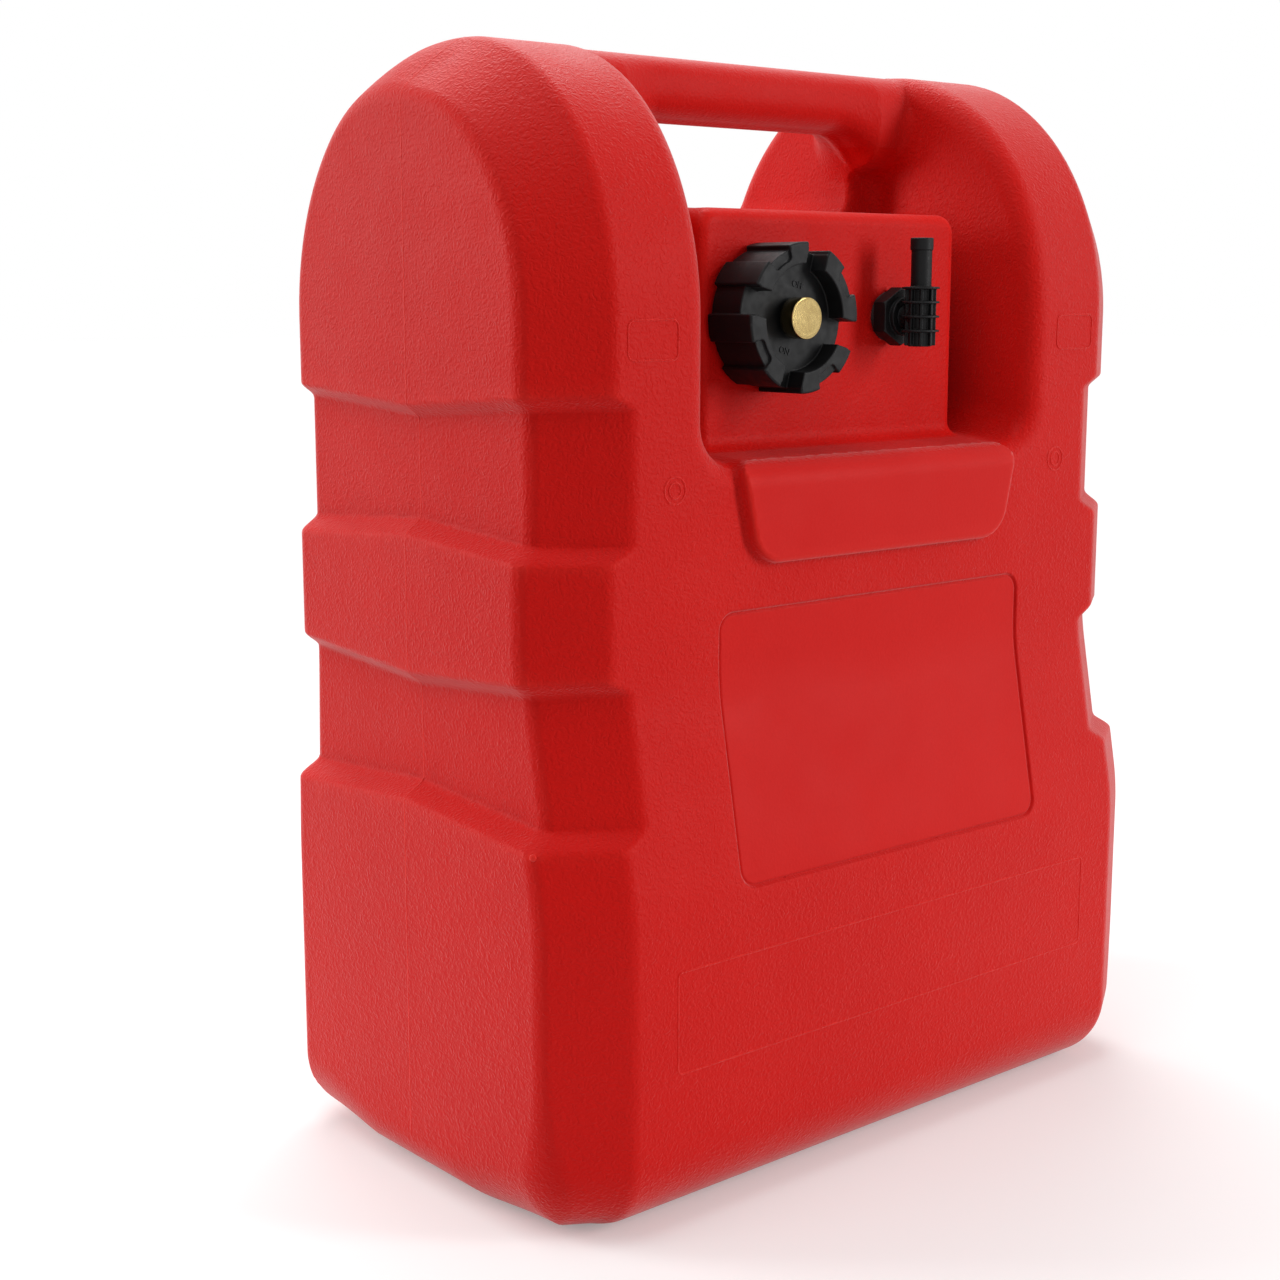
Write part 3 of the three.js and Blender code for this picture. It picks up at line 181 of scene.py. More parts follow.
def can(x, y, z):
    """The can without its recess. Its slanted corners join the inner arch of each end to the outer arch."""
    across, depth = np.abs(x), np.abs(y)
    slope = soft_min((FLARE_TOP - z) / (FLARE_TOP - FLARE_FOOT), 1.0, SLOPE_BLEND)
    slope = np.clip(-soft_min(-slope, 0.0, SLOPE_BLEND), 0, 1)
    face_depth = FACE_DEPTH + np.where(y < 0, FRONT_FLARE, BACK_FLARE) * slope
    end, face, corner = band_sizes(z, np.clip(depth / (FACE_DEPTH - BACK_CORNER_DEPTH), 0, 1))
    corner = BACK_CORNER_DEPTH + (corner - BACK_CORNER_DEPTH) * at_front(y, CORNER_BLEND)
    share = (end - across) / (end - face)
    drawn_in = 1 - soft_min(share, 1.0, FACE_BLEND)
    width = face_depth - corner * drawn_in
    drop = BACK_ARCH_DROP + (FRONT_ARCH_DROP - BACK_ARCH_DROP) * ease((ARCH_BACK - y) / ARCH_BLEND)
    bulge = 1 + BACK_BULGE * ease((y - BULGE_FROM) / BULGE_BLEND)
    height = BODY_TOP - ARCH_BASE - drop * np.maximum(drawn_in, 0) ** bulge
    rise = np.maximum(z - ARCH_BASE, 0)
    reach = np.hypot(depth / width, rise / height)
    slant = np.maximum(np.hypot(depth / width**2, rise / height**2), 1e-6)
    side = np.where(z > ARCH_BASE, reach * (reach - 1) / slant, depth - width)
    side = side / (1 + SLANT_LEAN - SLANT_LEAN * ease((share - SLANT_FROM) / SLANT_SPAN))
    low = ease(1 - z / LOW_CORNER_TOP) * at_front(y, CORNER_BLEND)
    wall = both(side, across - end, CORNER_ROUND + (LOW_CORNER_ROUND - CORNER_ROUND) * low)
    foot = BACK_FOOT + (FRONT_FOOT - BACK_FOOT) * at_front(y, FOOT_BLEND)
    off_end = ease((share - FOOT_FROM) / FOOT_SPAN)
    off_middle = ease((depth - FOOT_DEPTH_FROM) / FOOT_DEPTH_SPAN)
    foot = END_FOOT + (foot - END_FOOT) * np.maximum(off_end, off_middle)
    return both(wall, -z, foot)


def recess(x, y, z):
    """The space between the shoulders, in front of the parting plane."""
    drafted = np.clip((FACE_DEPTH - RECESS_RIM + y) / (FACE_DEPTH - RECESS_RIM - RECESS_COVE), 0, 1)
    side = np.abs(x) - RECESS_HALF + RECESS_SIDE_DRAFT * drafted
    foot = RECESS_FOOT + RECESS_FOOT_DRAFT * drafted - z
    return both(both(side, foot, RECESS_CORNER), y, RECESS_COVE)


def gap(x, y, z):
    """The opening behind the handle."""
    drafted = np.clip((FACE_DEPTH - y) / FACE_DEPTH, 0, 1)
    side = np.abs(x) - GAP_HALF + GAP_DRAFT * drafted
    return np.maximum(both(side, GAP_FOOT - z, GAP_CORNER), -2 - y)


def step(x, y, z):
    """The wall behind the panel, as high as the opening under the handle."""
    block = both(-STEP_DEPTH - y, z - GAP_FOOT, STEP_EDGE)
    return np.maximum.reduce([block, np.abs(x) - RECESS_HALF - 2, y - 2, RECESS_FOOT - RECESS_RIM - z])


def panel(x, y, z):
    """The block in the recess that carries the neck and the outlet."""
    side = np.abs(x) - PANEL_HALF - PANEL_DRAFT * np.clip(1 + y / (PANEL_DEPTH - PANEL_EDGE), 0, 1)
    block = both(both(side, z - GAP_FOOT, PANEL_CORNER), -PANEL_DEPTH - y, PANEL_EDGE)
    return np.maximum.reduce([block, y - 2, RECESS_FOOT - RECESS_RIM - z])


def plate_outline(x, z):
    spread = PLATE_TOP_HALF - PLATE_FOOT_HALF
    wide = PLATE_FOOT_HALF + spread * (z - PLATE_FOOT) / (RECESS_FOOT - PLATE_FOOT)
    return both(np.abs(x) - wide, PLATE_FOOT - z, PLATE_CORNER)


def plate(x, y, z):
    """The ledge under the recess, which stands out from the front."""
    block = both(plate_outline(x, z), -FACE_DEPTH - PLATE_RISE - y, PLATE_EDGE)
    return np.maximum(both(block, z - RECESS_FOOT - 1, RECESS_RIM), y + PANEL_DEPTH)


def handle(x, y, z):
    across = np.abs(x)
    swell = HANDLE_FLARE * np.clip((across - GAP_HALF + GAP_DRAFT + HANDLE_ROOT) / HANDLE_ROOT, 0, 1) ** 2
    tall = (HANDLE_HEIGHT + swell) / 2
    wide = HANDLE_WIDTH / 2 + swell / 4
    up = z - HANDLE_TOP + tall
    ratio = (np.abs(y / wide) ** HANDLE_POWER + np.abs(up / tall) ** HANDLE_POWER) ** (1 / HANDLE_POWER)
    bar = np.hypot(y, up) * (1 - 1 / np.maximum(ratio, 1e-3))
    return np.maximum(bar, across - RECESS_HALF - RECESS_RIM)


def label_outline(x, z):
    middle, half = (LABEL_TOP + LABEL_FOOT) / 2, (LABEL_TOP - LABEL_FOOT) / 2
    return both(np.abs(x) - LABEL_HALF, np.abs(z - middle) - half, LABEL_CORNER)


def tank(x, y, z):
    """The whole outside. The gap's rim is rounder at the back, and the hollow fillets fade out towards the
    parting plane and the top of the handle."""
    form = both(can(x, y, z), -recess(x, y, z), RECESS_RIM)
    form = both(form, -gap(x, y, z), GAP_INNER_RIM + (GAP_RIM - GAP_INNER_RIM) * ease((y - 20) / 40))
    cove = 0.5 + (COVE - 0.5) * ease((-y - 6) / 10)
    form = either(form, step(x, y, z), cove)
    form = either(form, panel(x, y, z), cove)
    form = either(form, plate(x, y, z), PLATE_COVE)
    root = 0.5 + (HANDLE_COVE - 0.5) * ease((HANDLE_TOP - 8 - z) / 16)
    form = either(form, handle(x, y, z), root)
    outline = label_outline(x, z)
    groove = GROOVE_DEPTH * np.exp(-(outline / GROOVE_HALF) ** 2)
    sunk = LABEL_SINK * ease(0.5 - outline / LABEL_EDGE) + groove
    return form + np.where(y < -FACE_DEPTH / 2, sunk, 0)


def cavity(x, y, z):
    """The inside of the wall, below zero in the wall and above zero in the hollow."""
    return -tank(x, y, z) - WALL


def thread(angle, out, half, foot, offset=0.0):
    """How far a place lies beside a right-handed thread that rises along the neck."""
    turn = (out - THREAD_PITCH * angle / (2 * math.pi) + offset) / THREAD_PITCH
    beside = np.abs(turn - np.round(turn)) * THREAD_PITCH - half
    ends = np.maximum(foot - out, out - THREAD_END)
    return np.maximum(beside * 0.8, ends)


def about(x, z, middle_x, middle_z):
    """Offsets from an axis that runs out of the panel, and the distance from it."""
    across, up = x - middle_x, z - middle_z
    return across, up, np.hypot(across, up)


def neck(x, y, z):
    across, up, radius = about(x, z, NECK_X, NECK_Z)
    out = -PANEL_DEPTH - y
    root = NECK_RADIUS - THREAD_DEPTH
    tube = both(radius - root, out - NECK_LENGTH, 0.8)
    ridge = both(thread(np.arctan2(up, across), out, THREAD_HALF, THREAD_FOOT), radius - NECK_RADIUS, 0.4)
    foot = both(radius - NECK_RADIUS - 0.6, out - 1.2, 0.6)
    form = either(either(tube, foot, 0.6), np.maximum(ridge, root - 1 - radius), 0.3)
    return np.maximum(both(form, NECK_BORE - radius, 0.8), -WALL - 1 - out)


def port_boss(x, y, z):
    radius = about(x, z, OUTLET_X, OUTLET_Z)[2]
    out = -PANEL_DEPTH - y
    ring = np.maximum(both(radius - PORT_BOSS, -PORT_END - out, 1.0), out + 0.05)
    return both(ring, PORT_RADIUS - radius, 0.5)


def washer(x, y, z):
    radius = about(x, z, OUTLET_X, OUTLET_Z)[2]
    out = -PANEL_DEPTH - y
    ring = both(radius - WASHER_RADIUS, np.abs(out - HEX_BACK / 2) - WASHER_HALF, 0.3)
    return both(ring, SPIGOT_RADIUS + 0.1 - radius, 0.2)


def cap(x, y, z):
    across, up, radius = about(x, z, NECK_X, NECK_Z)
    out = -PANEL_DEPTH - y
    pitch = 360 / NOTCHES
    angle = np.degrees(np.arctan2(up, across)) - FIRST_NOTCH
    from_notch = angle - pitch * np.round(angle / pitch)
    from_indent = pitch / 2 - np.abs(from_notch)
    claw = np.radians(np.abs(np.abs(from_notch) - pitch / 4) - CLAW_HALF) * radius
    body = either(radius - CAP_RADIUS + GRIP_SINK, both(radius - CAP_RADIUS, claw, 0.8), 0.5)
    form = both(both(body, out - CAP_FRONT, CAP_EDGE), CAP_FOOT - out, 0.4)
    beside = np.radians(from_indent - pitch / 4 + CLAW_HALF) * radius
    indent = both(both(beside, INDENT_INNER - radius, INDENT_ROUND), CAP_FRONT - INDENT_SINK - out, 0.2)
    form = both(form, -indent, 0.4)
    dish = both(radius - DISH_RADIUS, DISH_FLOOR - out, 0.6)
    beside_notch = np.abs(radius * np.sin(np.radians(from_notch)))
    notch = np.maximum(beside_notch - NOTCH_HALF, DISH_RADIUS / 2 - radius)
    opening = np.minimum(dish, both(notch, DISH_FLOOR - out, 0.3))
    form = both(form, -opening, 0.6)
    form = both(form, -both(radius - CAP_BORE, out - DECK_BACK, 1.0), 0.4)
    ridge = thread(np.radians(angle + FIRST_NOTCH), out, CAP_THREAD_HALF, CAP_THREAD_FOOT, THREAD_PITCH / 2)
    grip = both(ridge, CAP_BORE - THREAD_DEPTH - radius, 0.3)
    form = either(form, np.maximum(grip, radius - CAP_BORE - 1), 0.3)
    boss = both(radius - CAP_BOSS, BOSS_END - out, 0.4)
    form = either(form, np.maximum(boss, out - DECK_BACK - 1), 0.5)
    return np.maximum(form, BUSH_HOLE - radius)


def fitting(across, up, radius, out):
    """The hexagon with its collar, and the spigot and the barb behind it."""
    flats = [np.abs(math.cos(a) * across + math.sin(a) * up) for a in np.radians([0, 60, 120])]
    hexagon = both(np.maximum.reduce(flats) - HEX_ACROSS / 2, out - HEX_FRONT, 0.3)
    corner = HEX_ACROSS / math.sqrt(3)
    hexagon = both(hexagon, (radius - corner + (out - HEX_FRONT + HEX_EDGE)) * math.sqrt(0.5), 0.3)
    hexagon = np.maximum(hexagon, HEX_BACK - out)
    form = either(hexagon, both(radius - COLLAR_RADIUS, out - COLLAR_FRONT, 0.4), 0.3)
    form = np.maximum(form, HEX_BACK - out)
    spigot = both(radius - SPIGOT_RADIUS, -PORT_END - out, 0.5)
    form = np.minimum(form, np.maximum(spigot, out - HEX_BACK - 1))
    lip = BARB_LIP * np.clip((out + BARB_END) / BARB_TIP, 0, 1) * (out < BARB_TIP - BARB_END)
    barb = np.maximum(-BARB_END - out, out)
    return np.minimum(form, np.maximum(radius - BARB_RADIUS - lip, barb))


def outlet(x, y, z):
    """The fitting, and the ribbed upright body in front of it with its hose stem."""
    across, up, radius = about(x, z, OUTLET_X, OUTLET_Z)
    out = -PANEL_DEPTH - y
    bridge = np.maximum(out - ELBOW_REACH, HEX_FRONT - out)
    form = fitting(across, up, radius, out)
    form = either(form, np.maximum(radius - ELBOW_CORE, bridge), 0.4)
    reach = np.hypot(across, out - ELBOW_REACH)
    form = either(form, both(reach - ELBOW_CORE, np.abs(up) - ELBOW_FOOT, 0.4), 0.3)
    for angle in np.arange(FIN_COUNT // 2) * 2 * math.pi / FIN_COUNT:
        beside = np.abs(math.sin(angle) * across + math.cos(angle) * (out - ELBOW_REACH))
        fin = both(both(beside - FIN_HALF, reach - FIN_RADIUS, 0.3), np.abs(up) - ELBOW_FOOT + 0.4, 0.3)
        form = either(form, fin, 0.3)
    for level in ELBOW_HEAD - DISC_HALF - np.arange(DISC_COUNT) * DISC_PITCH:
        half = DISC_HALF - 0.2 * np.clip((reach - ELBOW_CORE) / (DISC_RADIUS - ELBOW_CORE), 0, 1)
        form = either(form, both(np.abs(up - level) - half, reach - DISC_RADIUS, 0.2), 0.3)
    stem = both(reach - STEM_RADIUS, up - STEM_TOP, 0.6)
    barb = both(reach - STEM_BARB, np.abs(up - STEM_TOP + STEM_BARB_LENGTH / 2) - STEM_BARB_LENGTH / 2, 0.5)
    form = either(form, np.maximum(np.minimum(stem, barb), -up), 0.3)
    form = both(form, -np.maximum(reach - STEM_BORE, -STEM_BORE - up), 0.3)
    return np.maximum(form, -np.maximum(radius - STEM_BORE, out - ELBOW_REACH))


# Meshing

STRIDE = 4  # fine cells along a coarse one
CHUNK = 400_000


def values(form, points):
    """The form's value at each point, worked out in chunks to save memory."""
    parts = [form(*points[i:i + CHUNK].T) for i in range(0, len(points), CHUNK)]
    return np.concatenate(parts)


def slopes(form, points, reach):
    """The form's value at each point, and its slope there."""
    here = values(form, points)
    ahead = [values(form, points + offset) for offset in np.eye(3) * reach]
    return here, (np.stack(ahead, 1) - here[:, None]) / reach


def pulled(form, points, reach, times=1):
    """Points moved onto the form's surface."""
    for _ in range(times):
        here, slope = slopes(form, points, reach / 16)
        move = slope * (here / np.maximum((slope**2).sum(1), 0.05))[:, None]
        points = points - np.clip(move, -reach / 2, reach / 2)
    return points


def sampled(form, low, high, cell):
    """The form on a grid: exact near its surface, and elsewhere only on the right side of zero."""
    counts = [math.ceil((b - a) / cell / STRIDE) + 2 for a, b in zip(low, high)]
    starts = np.array(low) - STRIDE * cell
    coarse_axes = [s + np.arange(n + 1) * STRIDE * cell for s, n in zip(starts, counts)]
    places = np.stack(np.meshgrid(*coarse_axes, indexing="ij"), -1).reshape(-1, 3)
    coarse = values(form, places).reshape([n + 1 for n in counts])
    nearest = np.full(counts, np.inf)
    for i, j, k in np.ndindex(2, 2, 2):
        corner = coarse[i:i + counts[0], j:j + counts[1], k:k + counts[2]]
        nearest = np.minimum(nearest, np.abs(corner))
    near = nearest < 1.3 * STRIDE * cell
    shape = [n * STRIDE + 1 for n in counts]
    grid = np.pad(coarse[:-1, :-1, :-1], ((0, 1),) * 3, mode="edge")
    for axis in range(3):
        grid = np.repeat(grid, STRIDE, axis)
    grid = grid[:shape[0], :shape[1], :shape[2]]
    wanted = np.zeros(shape, bool)
    for i, j, k in np.ndindex(*[STRIDE + 1] * 3):
        ends = [start + (n - 1) * STRIDE + 1 for start, n in zip((i, j, k), counts)]
        wanted[i:ends[0]:STRIDE, j:ends[1]:STRIDE, k:ends[2]:STRIDE] |= near
    grid[wanted] = values(form, np.argwhere(wanted) * cell + starts)
    return grid, starts


def crossed_cells(inside):
    """The cells of the grid that the surface crosses, and the number of each cell among them."""
    cells = [n - 1 for n in inside.shape]
    count = np.zeros(cells, np.int8)
    for i, j, k in np.ndindex(2, 2, 2):
        count += inside[i:i + cells[0], j:j + cells[1], k:k + cells[2]]
    active = (count > 0) & (count < 8)
    where = np.argwhere(active)
    number = np.full(active.shape, -1)
    number[active] = np.arange(len(where))
    return where, number


def net_points(grid, where):
    """For each of those cells, the middle of the places where the surface crosses its edges."""
    total, hits = np.zeros((len(where), 3)), np.zeros(len(where))
    for axis in range(3):
        for corner in [c for c in np.ndindex(2, 2, 2) if not c[axis]]:
            far = np.add(corner, np.eye(3, dtype=int)[axis])
            a, b = grid[tuple((where + corner).T)], grid[tuple((where + far).T)]
            cross = (a < 0) != (b < 0)
            place = np.tile(np.array(corner, float), (len(where), 1))
            place[:, axis] = np.where(cross, a / np.where(cross, a - b, 1), 0)
            total += np.where(cross[:, None], place, 0)
            hits += cross
    return where + total / hits[:, None]


def net_faces(inside, number):
    """A four-sided face round each edge of the grid that the surface crosses."""
    quads = []
    for axis in range(3):
        u, v = (axis + 1) % 3, (axis + 2) % 3
        here, there = [slice(1, -1)] * 3, [slice(1, -1)] * 3
        here[axis], there[axis] = slice(0, -1), slice(1, None)
        a, b = inside[tuple(here)], inside[tuple(there)]
        for flag, order in ((a & ~b, (0, 1, 2, 3)), (~a & b, (3, 2, 1, 0))):
            edge = np.argwhere(flag)
            edge[:, [u, v]] += 1
            around = []
            for du, dv in ((-1, -1), (0, -1), (0, 0), (-1, 0)):
                beside = edge.copy()
                beside[:, u] += du
                beside[:, v] += dv
                around.append(number[tuple(beside.T)])
            quads.append(np.stack(around, 1)[:, order])
    return np.concatenate(quads)


def surface_net(form, low, high, cell):
    """Points and four-sided faces of a form's surface, with one point in each cell that it crosses."""
    grid, starts = sampled(form, low, high, cell)
    inside = grid < 0
    where, number = crossed_cells(inside)
    points = net_points(grid, where) * cell + starts
    return pulled(form, points, cell, 2), net_faces(inside, number)


def made_mesh(name, points, faces, material):
    mesh = bpy.data.meshes.new(name)
    mesh.from_pydata((np.asarray(points) + [0, MOULD_Y, 0]) * MM, [], np.asarray(faces).tolist())
    mesh.polygons.foreach_set("use_smooth", [True] * len(mesh.polygons))
    mesh.materials.append(material)
    return mesh


def thinned(mesh, most):
    """The mesh with its flat stretches thinned until it has at most that many triangles."""
    share = most / (2 * len(mesh.polygons))
    if share >= 1:
        return mesh
    holder = bpy.data.objects.new("holder", mesh)
    bpy.context.scene.collection.objects.link(holder)
    holder.modifiers.new("thin", "DECIMATE").ratio = share
    dressed = holder.evaluated_get(bpy.context.evaluated_depsgraph_get())
    thin = bpy.data.meshes.new_from_object(dressed)
    bpy.data.objects.remove(holder)
    return thin


def places_of(mesh):
    places = np.empty(3 * len(mesh.vertices))
    mesh.vertices.foreach_get("co", places)
    return places.reshape(-1, 3) / MM - [0, MOULD_Y, 0]


def refined(mesh, form, distance, band, longest):
    """The mesh with its edges split until none in a band round a line is longer than that."""
    work = bmesh.new()
    work.from_mesh(mesh)
    for _ in range(6):
        points = np.array([v.co[:] for v in work.verts]) / MM - [0, MOULD_Y, 0]
        ends = np.array([(e.verts[0].index, e.verts[1].index) for e in work.edges])
        a, b = points[ends[:, 0]], points[ends[:, 1]]
        length = np.linalg.norm(a - b, axis=1)
        beside = distance(*((a + b) / 2).T)
        split = (length > longest) & (beside < band + length / 2)
        if not split.any():
            break
        work.edges.ensure_lookup_table()
        bmesh.ops.subdivide_edges(work, edges=[work.edges[i] for i in np.flatnonzero(split)], cuts=1)
        bmesh.ops.triangulate(work, faces=[f for f in work.faces if len(f.verts) > 3])
        work.verts.index_update()
    work.to_mesh(mesh)
    work.free()
    points = (pulled(form, places_of(mesh), 1.0, 2) + [0, MOULD_Y, 0]) * MM
    mesh.vertices.foreach_set("co", points.ravel())
    mesh.polygons.foreach_set("use_smooth", [True] * len(mesh.polygons))
    return mesh


def shade_by(mesh, form, reach=0.3):
    """Gives the mesh the form's own normals, so that it shades as evenly as the form."""
    places = places_of(mesh)
    slope = slopes(form, places, reach)[1]
    slope /= np.maximum(np.linalg.norm(slope, axis=1), 1e-9)[:, None]
    mesh.normals_split_custom_set_from_vertices(slope)
    return places, slope


def placed(name, mesh, body, slot, *nodes):
    """A finished piece: it rides on a body and may stand for nodes. The slot argument is not used."""
    piece = bpy.data.objects.new(name, mesh)
    bpy.context.scene.collection.objects.link(piece)
    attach(piece, body)
    if nodes:
        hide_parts(*nodes)
    return piece


def note(mesh, name, numbers):
    """Keeps a number for each point of the mesh, for its material to read."""
    mesh.attributes.new(name, "FLOAT", "POINT").data.foreach_set("value", np.asarray(numbers, np.float32))


# Materials

class Nodes:
    """A short way to lay out one material's nodes."""

    def __init__(self, name):
        self.material = bpy.data.materials.new(name)
        self.material.use_nodes = True
        self.tree = self.material.node_tree
        self.shader = self.tree.nodes["Principled BSDF"]
        self.place = self.add("ShaderNodeTexCoord").outputs["Object"]

    def add(self, kind, inputs=None, **settings):
        node = self.tree.nodes.new(kind)
        for key, value in settings.items():
            setattr(node, key, value)
        for key, value in (inputs or {}).items():
            if isinstance(value, bpy.types.NodeSocket):
                self.tree.links.new(value, node.inputs[key])
            else:
                node.inputs[key].default_value = value
        return node

    def noise(self, scale, detail=2.0, rough=0.5, vector=None):
        inputs = {"Vector": vector or self.place, "Scale": scale, "Detail": detail, "Roughness": rough}
        return self.add("ShaderNodeTexNoise", inputs).outputs["Fac"]

    def attribute(self, name):
        return self.add("ShaderNodeAttribute", attribute_name=name).outputs["Fac"]

    def math(self, operation, a, b=0.0, clamp=False):
        return self.add("ShaderNodeMath", {0: a, 1: b}, operation=operation, use_clamp=clamp).outputs[0]

    def ramp(self, value, low, high, to_low=0.0, to_high=1.0):
        inputs = {"Value": value, "From Min": low, "From Max": high, "To Min": to_low, "To Max": to_high}
        return self.add("ShaderNodeMapRange", inputs).outputs["Result"]

    def mix(self, share, a, b):
        node = self.add("ShaderNodeMix", data_type="RGBA")
        for key, value in (("Factor", share), ("A", a), ("B", b)):
            socket = next(s for s in node.inputs if s.name == key and s.enabled)
            if isinstance(value, bpy.types.NodeSocket):
                self.tree.links.new(value, socket)
            else:
                socket.default_value = value
        return next(s for s in node.outputs if s.enabled)

    def bump(self, height, distance, strength=1.0, normal=None):
        inputs = {"Height": height, "Distance": distance, "Strength": strength}
        if normal:
            inputs["Normal"] = normal
        return self.add("ShaderNodeBump", inputs).outputs["Normal"]

    def link(self, value, name):
        self.tree.links.new(value, self.shader.inputs[name])

    def set(self, **numbers):
        for name, number in numbers.items():
            self.shader.inputs[name.replace("_", " ")].default_value = number


def rgb(red, green, blue):
    """A colour given as it shows on a screen, 0 to 255."""
    shares = [c / 255 for c in (red, green, blue)]
    return [c / 12.92 if c <= 0.04045 else ((c + 0.055) / 1.055) ** 2.4 for c in shares] + [1.0]


def grained_red(name, grained=True, wear_and_highlight=(0.1, 0.5), haze=0.31):
    """Blow-moulded polyethylene: a wrinkled leather grain, slight unevenness, paler edges that are partly
    rubbed wear and partly a painted highlight, and painted shade in hollows.

    Without the grain, the paleness range says how pale the whole piece is, at least and at most: rubbed
    wear on the plain red lines, and a painted highlight on the pale seam and nub. haze is the pale bloom
    that shows where light grazes the skin.
    """
    n = Nodes(name)
    # A paler red: rubbed wear, and a painted highlight on the edges and on the pale seam and nub
    rubbed_and_highlit = rgb(222, 44, 36)
    bend = n.add("ShaderNodeTexNoise", {"Vector": n.place, "Scale": 260.0, "Detail": 1.0}).outputs["Color"]
    reach = (GRAIN_BEND, GRAIN_BEND, GRAIN_BEND)
    bent = n.add("ShaderNodeVectorMath", {0: bend, 1: reach}, operation="MULTIPLY").outputs[0]
    bent = n.add("ShaderNodeVectorMath", {0: n.place, 1: bent}, operation="ADD").outputs[0]
    crease = n.math("ABSOLUTE", n.math("SUBTRACT", n.noise(430.0, 1.5, 0.5, bent), 0.5))
    crease = n.ramp(crease, 0.0, 0.2, 0.0, 1.0)
    pebble = n.noise(1100.0, 2.0, 0.5, bent)
    grain = n.math("ADD", crease, n.math("MULTIPLY", pebble, 0.6))
    if grained:
        grain = n.math("MULTIPLY", grain, n.attribute("grain"))
    normal = n.bump(grain, 0.00017, 1.0)
    normal = n.bump(n.noise(26.0, 2.0), 0.0016, 0.25, normal)
    n.link(normal, "Normal")
    patch = n.ramp(n.noise(7.0, 4.0, 0.6), 0.35, 0.65)
    base = n.mix(patch, rgb(203, 15, 9), rgb(209, 19, 12))
    base = n.mix(n.ramp(n.noise(900.0, 3.0), 0.35, 0.7, 0.0, 0.3), base, rgb(192, 10, 6))
    if grained:
        # Paler edges: partly rubbed wear, partly a painted highlight on the rounded rims
        base = n.mix(n.math("MULTIPLY", n.attribute("edge"), 0.5), base, rubbed_and_highlit)
        # Painted shade: a darker red in hollows and beside the label's outline, mottled by noise
        painted_hollow_shade = n.ramp(n.noise(120.0, 4.0, 0.6), 0.3, 0.7, 0.2, 0.6)
        painted_hollow_shade = n.math("MULTIPLY", n.attribute("hollow"), painted_hollow_shade)
        base = n.mix(painted_hollow_shade, base, rgb(176, 8, 5))
    else:
        base = n.mix(n.ramp(n.noise(150.0, 3.0), 0.35, 0.65, *wear_and_highlight), base, rubbed_and_highlit)
    n.link(base, "Base Color")
    n.link(n.ramp(n.noise(48.0, 3.0), 0.3, 0.7, 0.44, 0.52), "Roughness")
    n.set(Specular_IOR_Level=0.08, Sheen_Weight=haze, Sheen_Roughness=0.4)
    return n.material


def moulded_black():
    """Black nylon with a fine spark-eroded texture, greyer on its edges."""
    n = Nodes("black_plastic")
    spark = n.noise(2600.0, 2.0)
    n.link(n.bump(n.noise(60.0, 2.0), 0.0003, 0.2, n.bump(spark, 0.00003, 0.7)), "Normal")
    mottle = n.ramp(n.noise(45.0, 4.0, 0.6), 0.35, 0.7)
    base = n.mix(mottle, rgb(14, 14, 15), rgb(20, 20, 21))
    pointed = n.add("ShaderNodeNewGeometry").outputs["Pointiness"]
    base = n.mix(n.ramp(pointed, 0.52, 0.62, 0.0, 0.5), base, rgb(46, 46, 48))
    n.link(base, "Base Color")
    n.link(n.ramp(n.noise(300.0, 3.0), 0.3, 0.7, 0.42, 0.56), "Roughness")
    n.set(Specular_IOR_Level=0.16)
    return n.material


def turned_brass():
    """Brass with the fine rings that a lathe leaves, slightly tarnished."""
    n = Nodes("brass")
    split = n.add("ShaderNodeSeparateXYZ", {0: n.place})
    across = n.math("SUBTRACT", split.outputs[0], NECK_X * MM)
    up = n.math("SUBTRACT", split.outputs[2], NECK_Z * MM)
    radius = n.math("SQRT", n.math("ADD", n.math("MULTIPLY", across, across), n.math("MULTIPLY", up, up)))
    out = n.math("MULTIPLY", split.outputs[1], 0.2)
    track = n.add("ShaderNodeCombineXYZ", {0: radius, 1: out}).outputs[0]
    rings = n.noise(9000.0, 2.0, 0.6, track)
    n.link(n.bump(rings, 0.000004, 0.8), "Normal")
    tarnish = n.ramp(n.noise(220.0, 4.0, 0.6), 0.4, 0.75)
    base = n.mix(tarnish, rgb(168, 146, 96), rgb(150, 126, 78))
    base = n.mix(n.ramp(rings, 0.35, 0.65, 0.0, 0.35), base, rgb(184, 163, 112))
    n.link(base, "Base Color")
    n.link(n.ramp(rings, 0.3, 0.7, 0.08, 0.13), "Roughness")
    n.set(Metallic=1.0)
    return n.material


def plain(name, light, dark, roughness, grain, metallic=0.0):
    """A plain finish with a fine surface, mottled between two colours."""
    n = Nodes(name)
    n.link(n.mix(n.ramp(n.noise(60.0, 4.0, 0.6), 0.3, 0.7), dark, light), "Base Color")
    n.link(n.ramp(n.noise(500.0, 3.0), 0.3, 0.7, roughness - 0.06, roughness + 0.06), "Roughness")
    n.link(n.bump(n.noise(1800.0, 2.0), grain, 0.7), "Normal")
    n.set(Metallic=metallic)
    return n.material


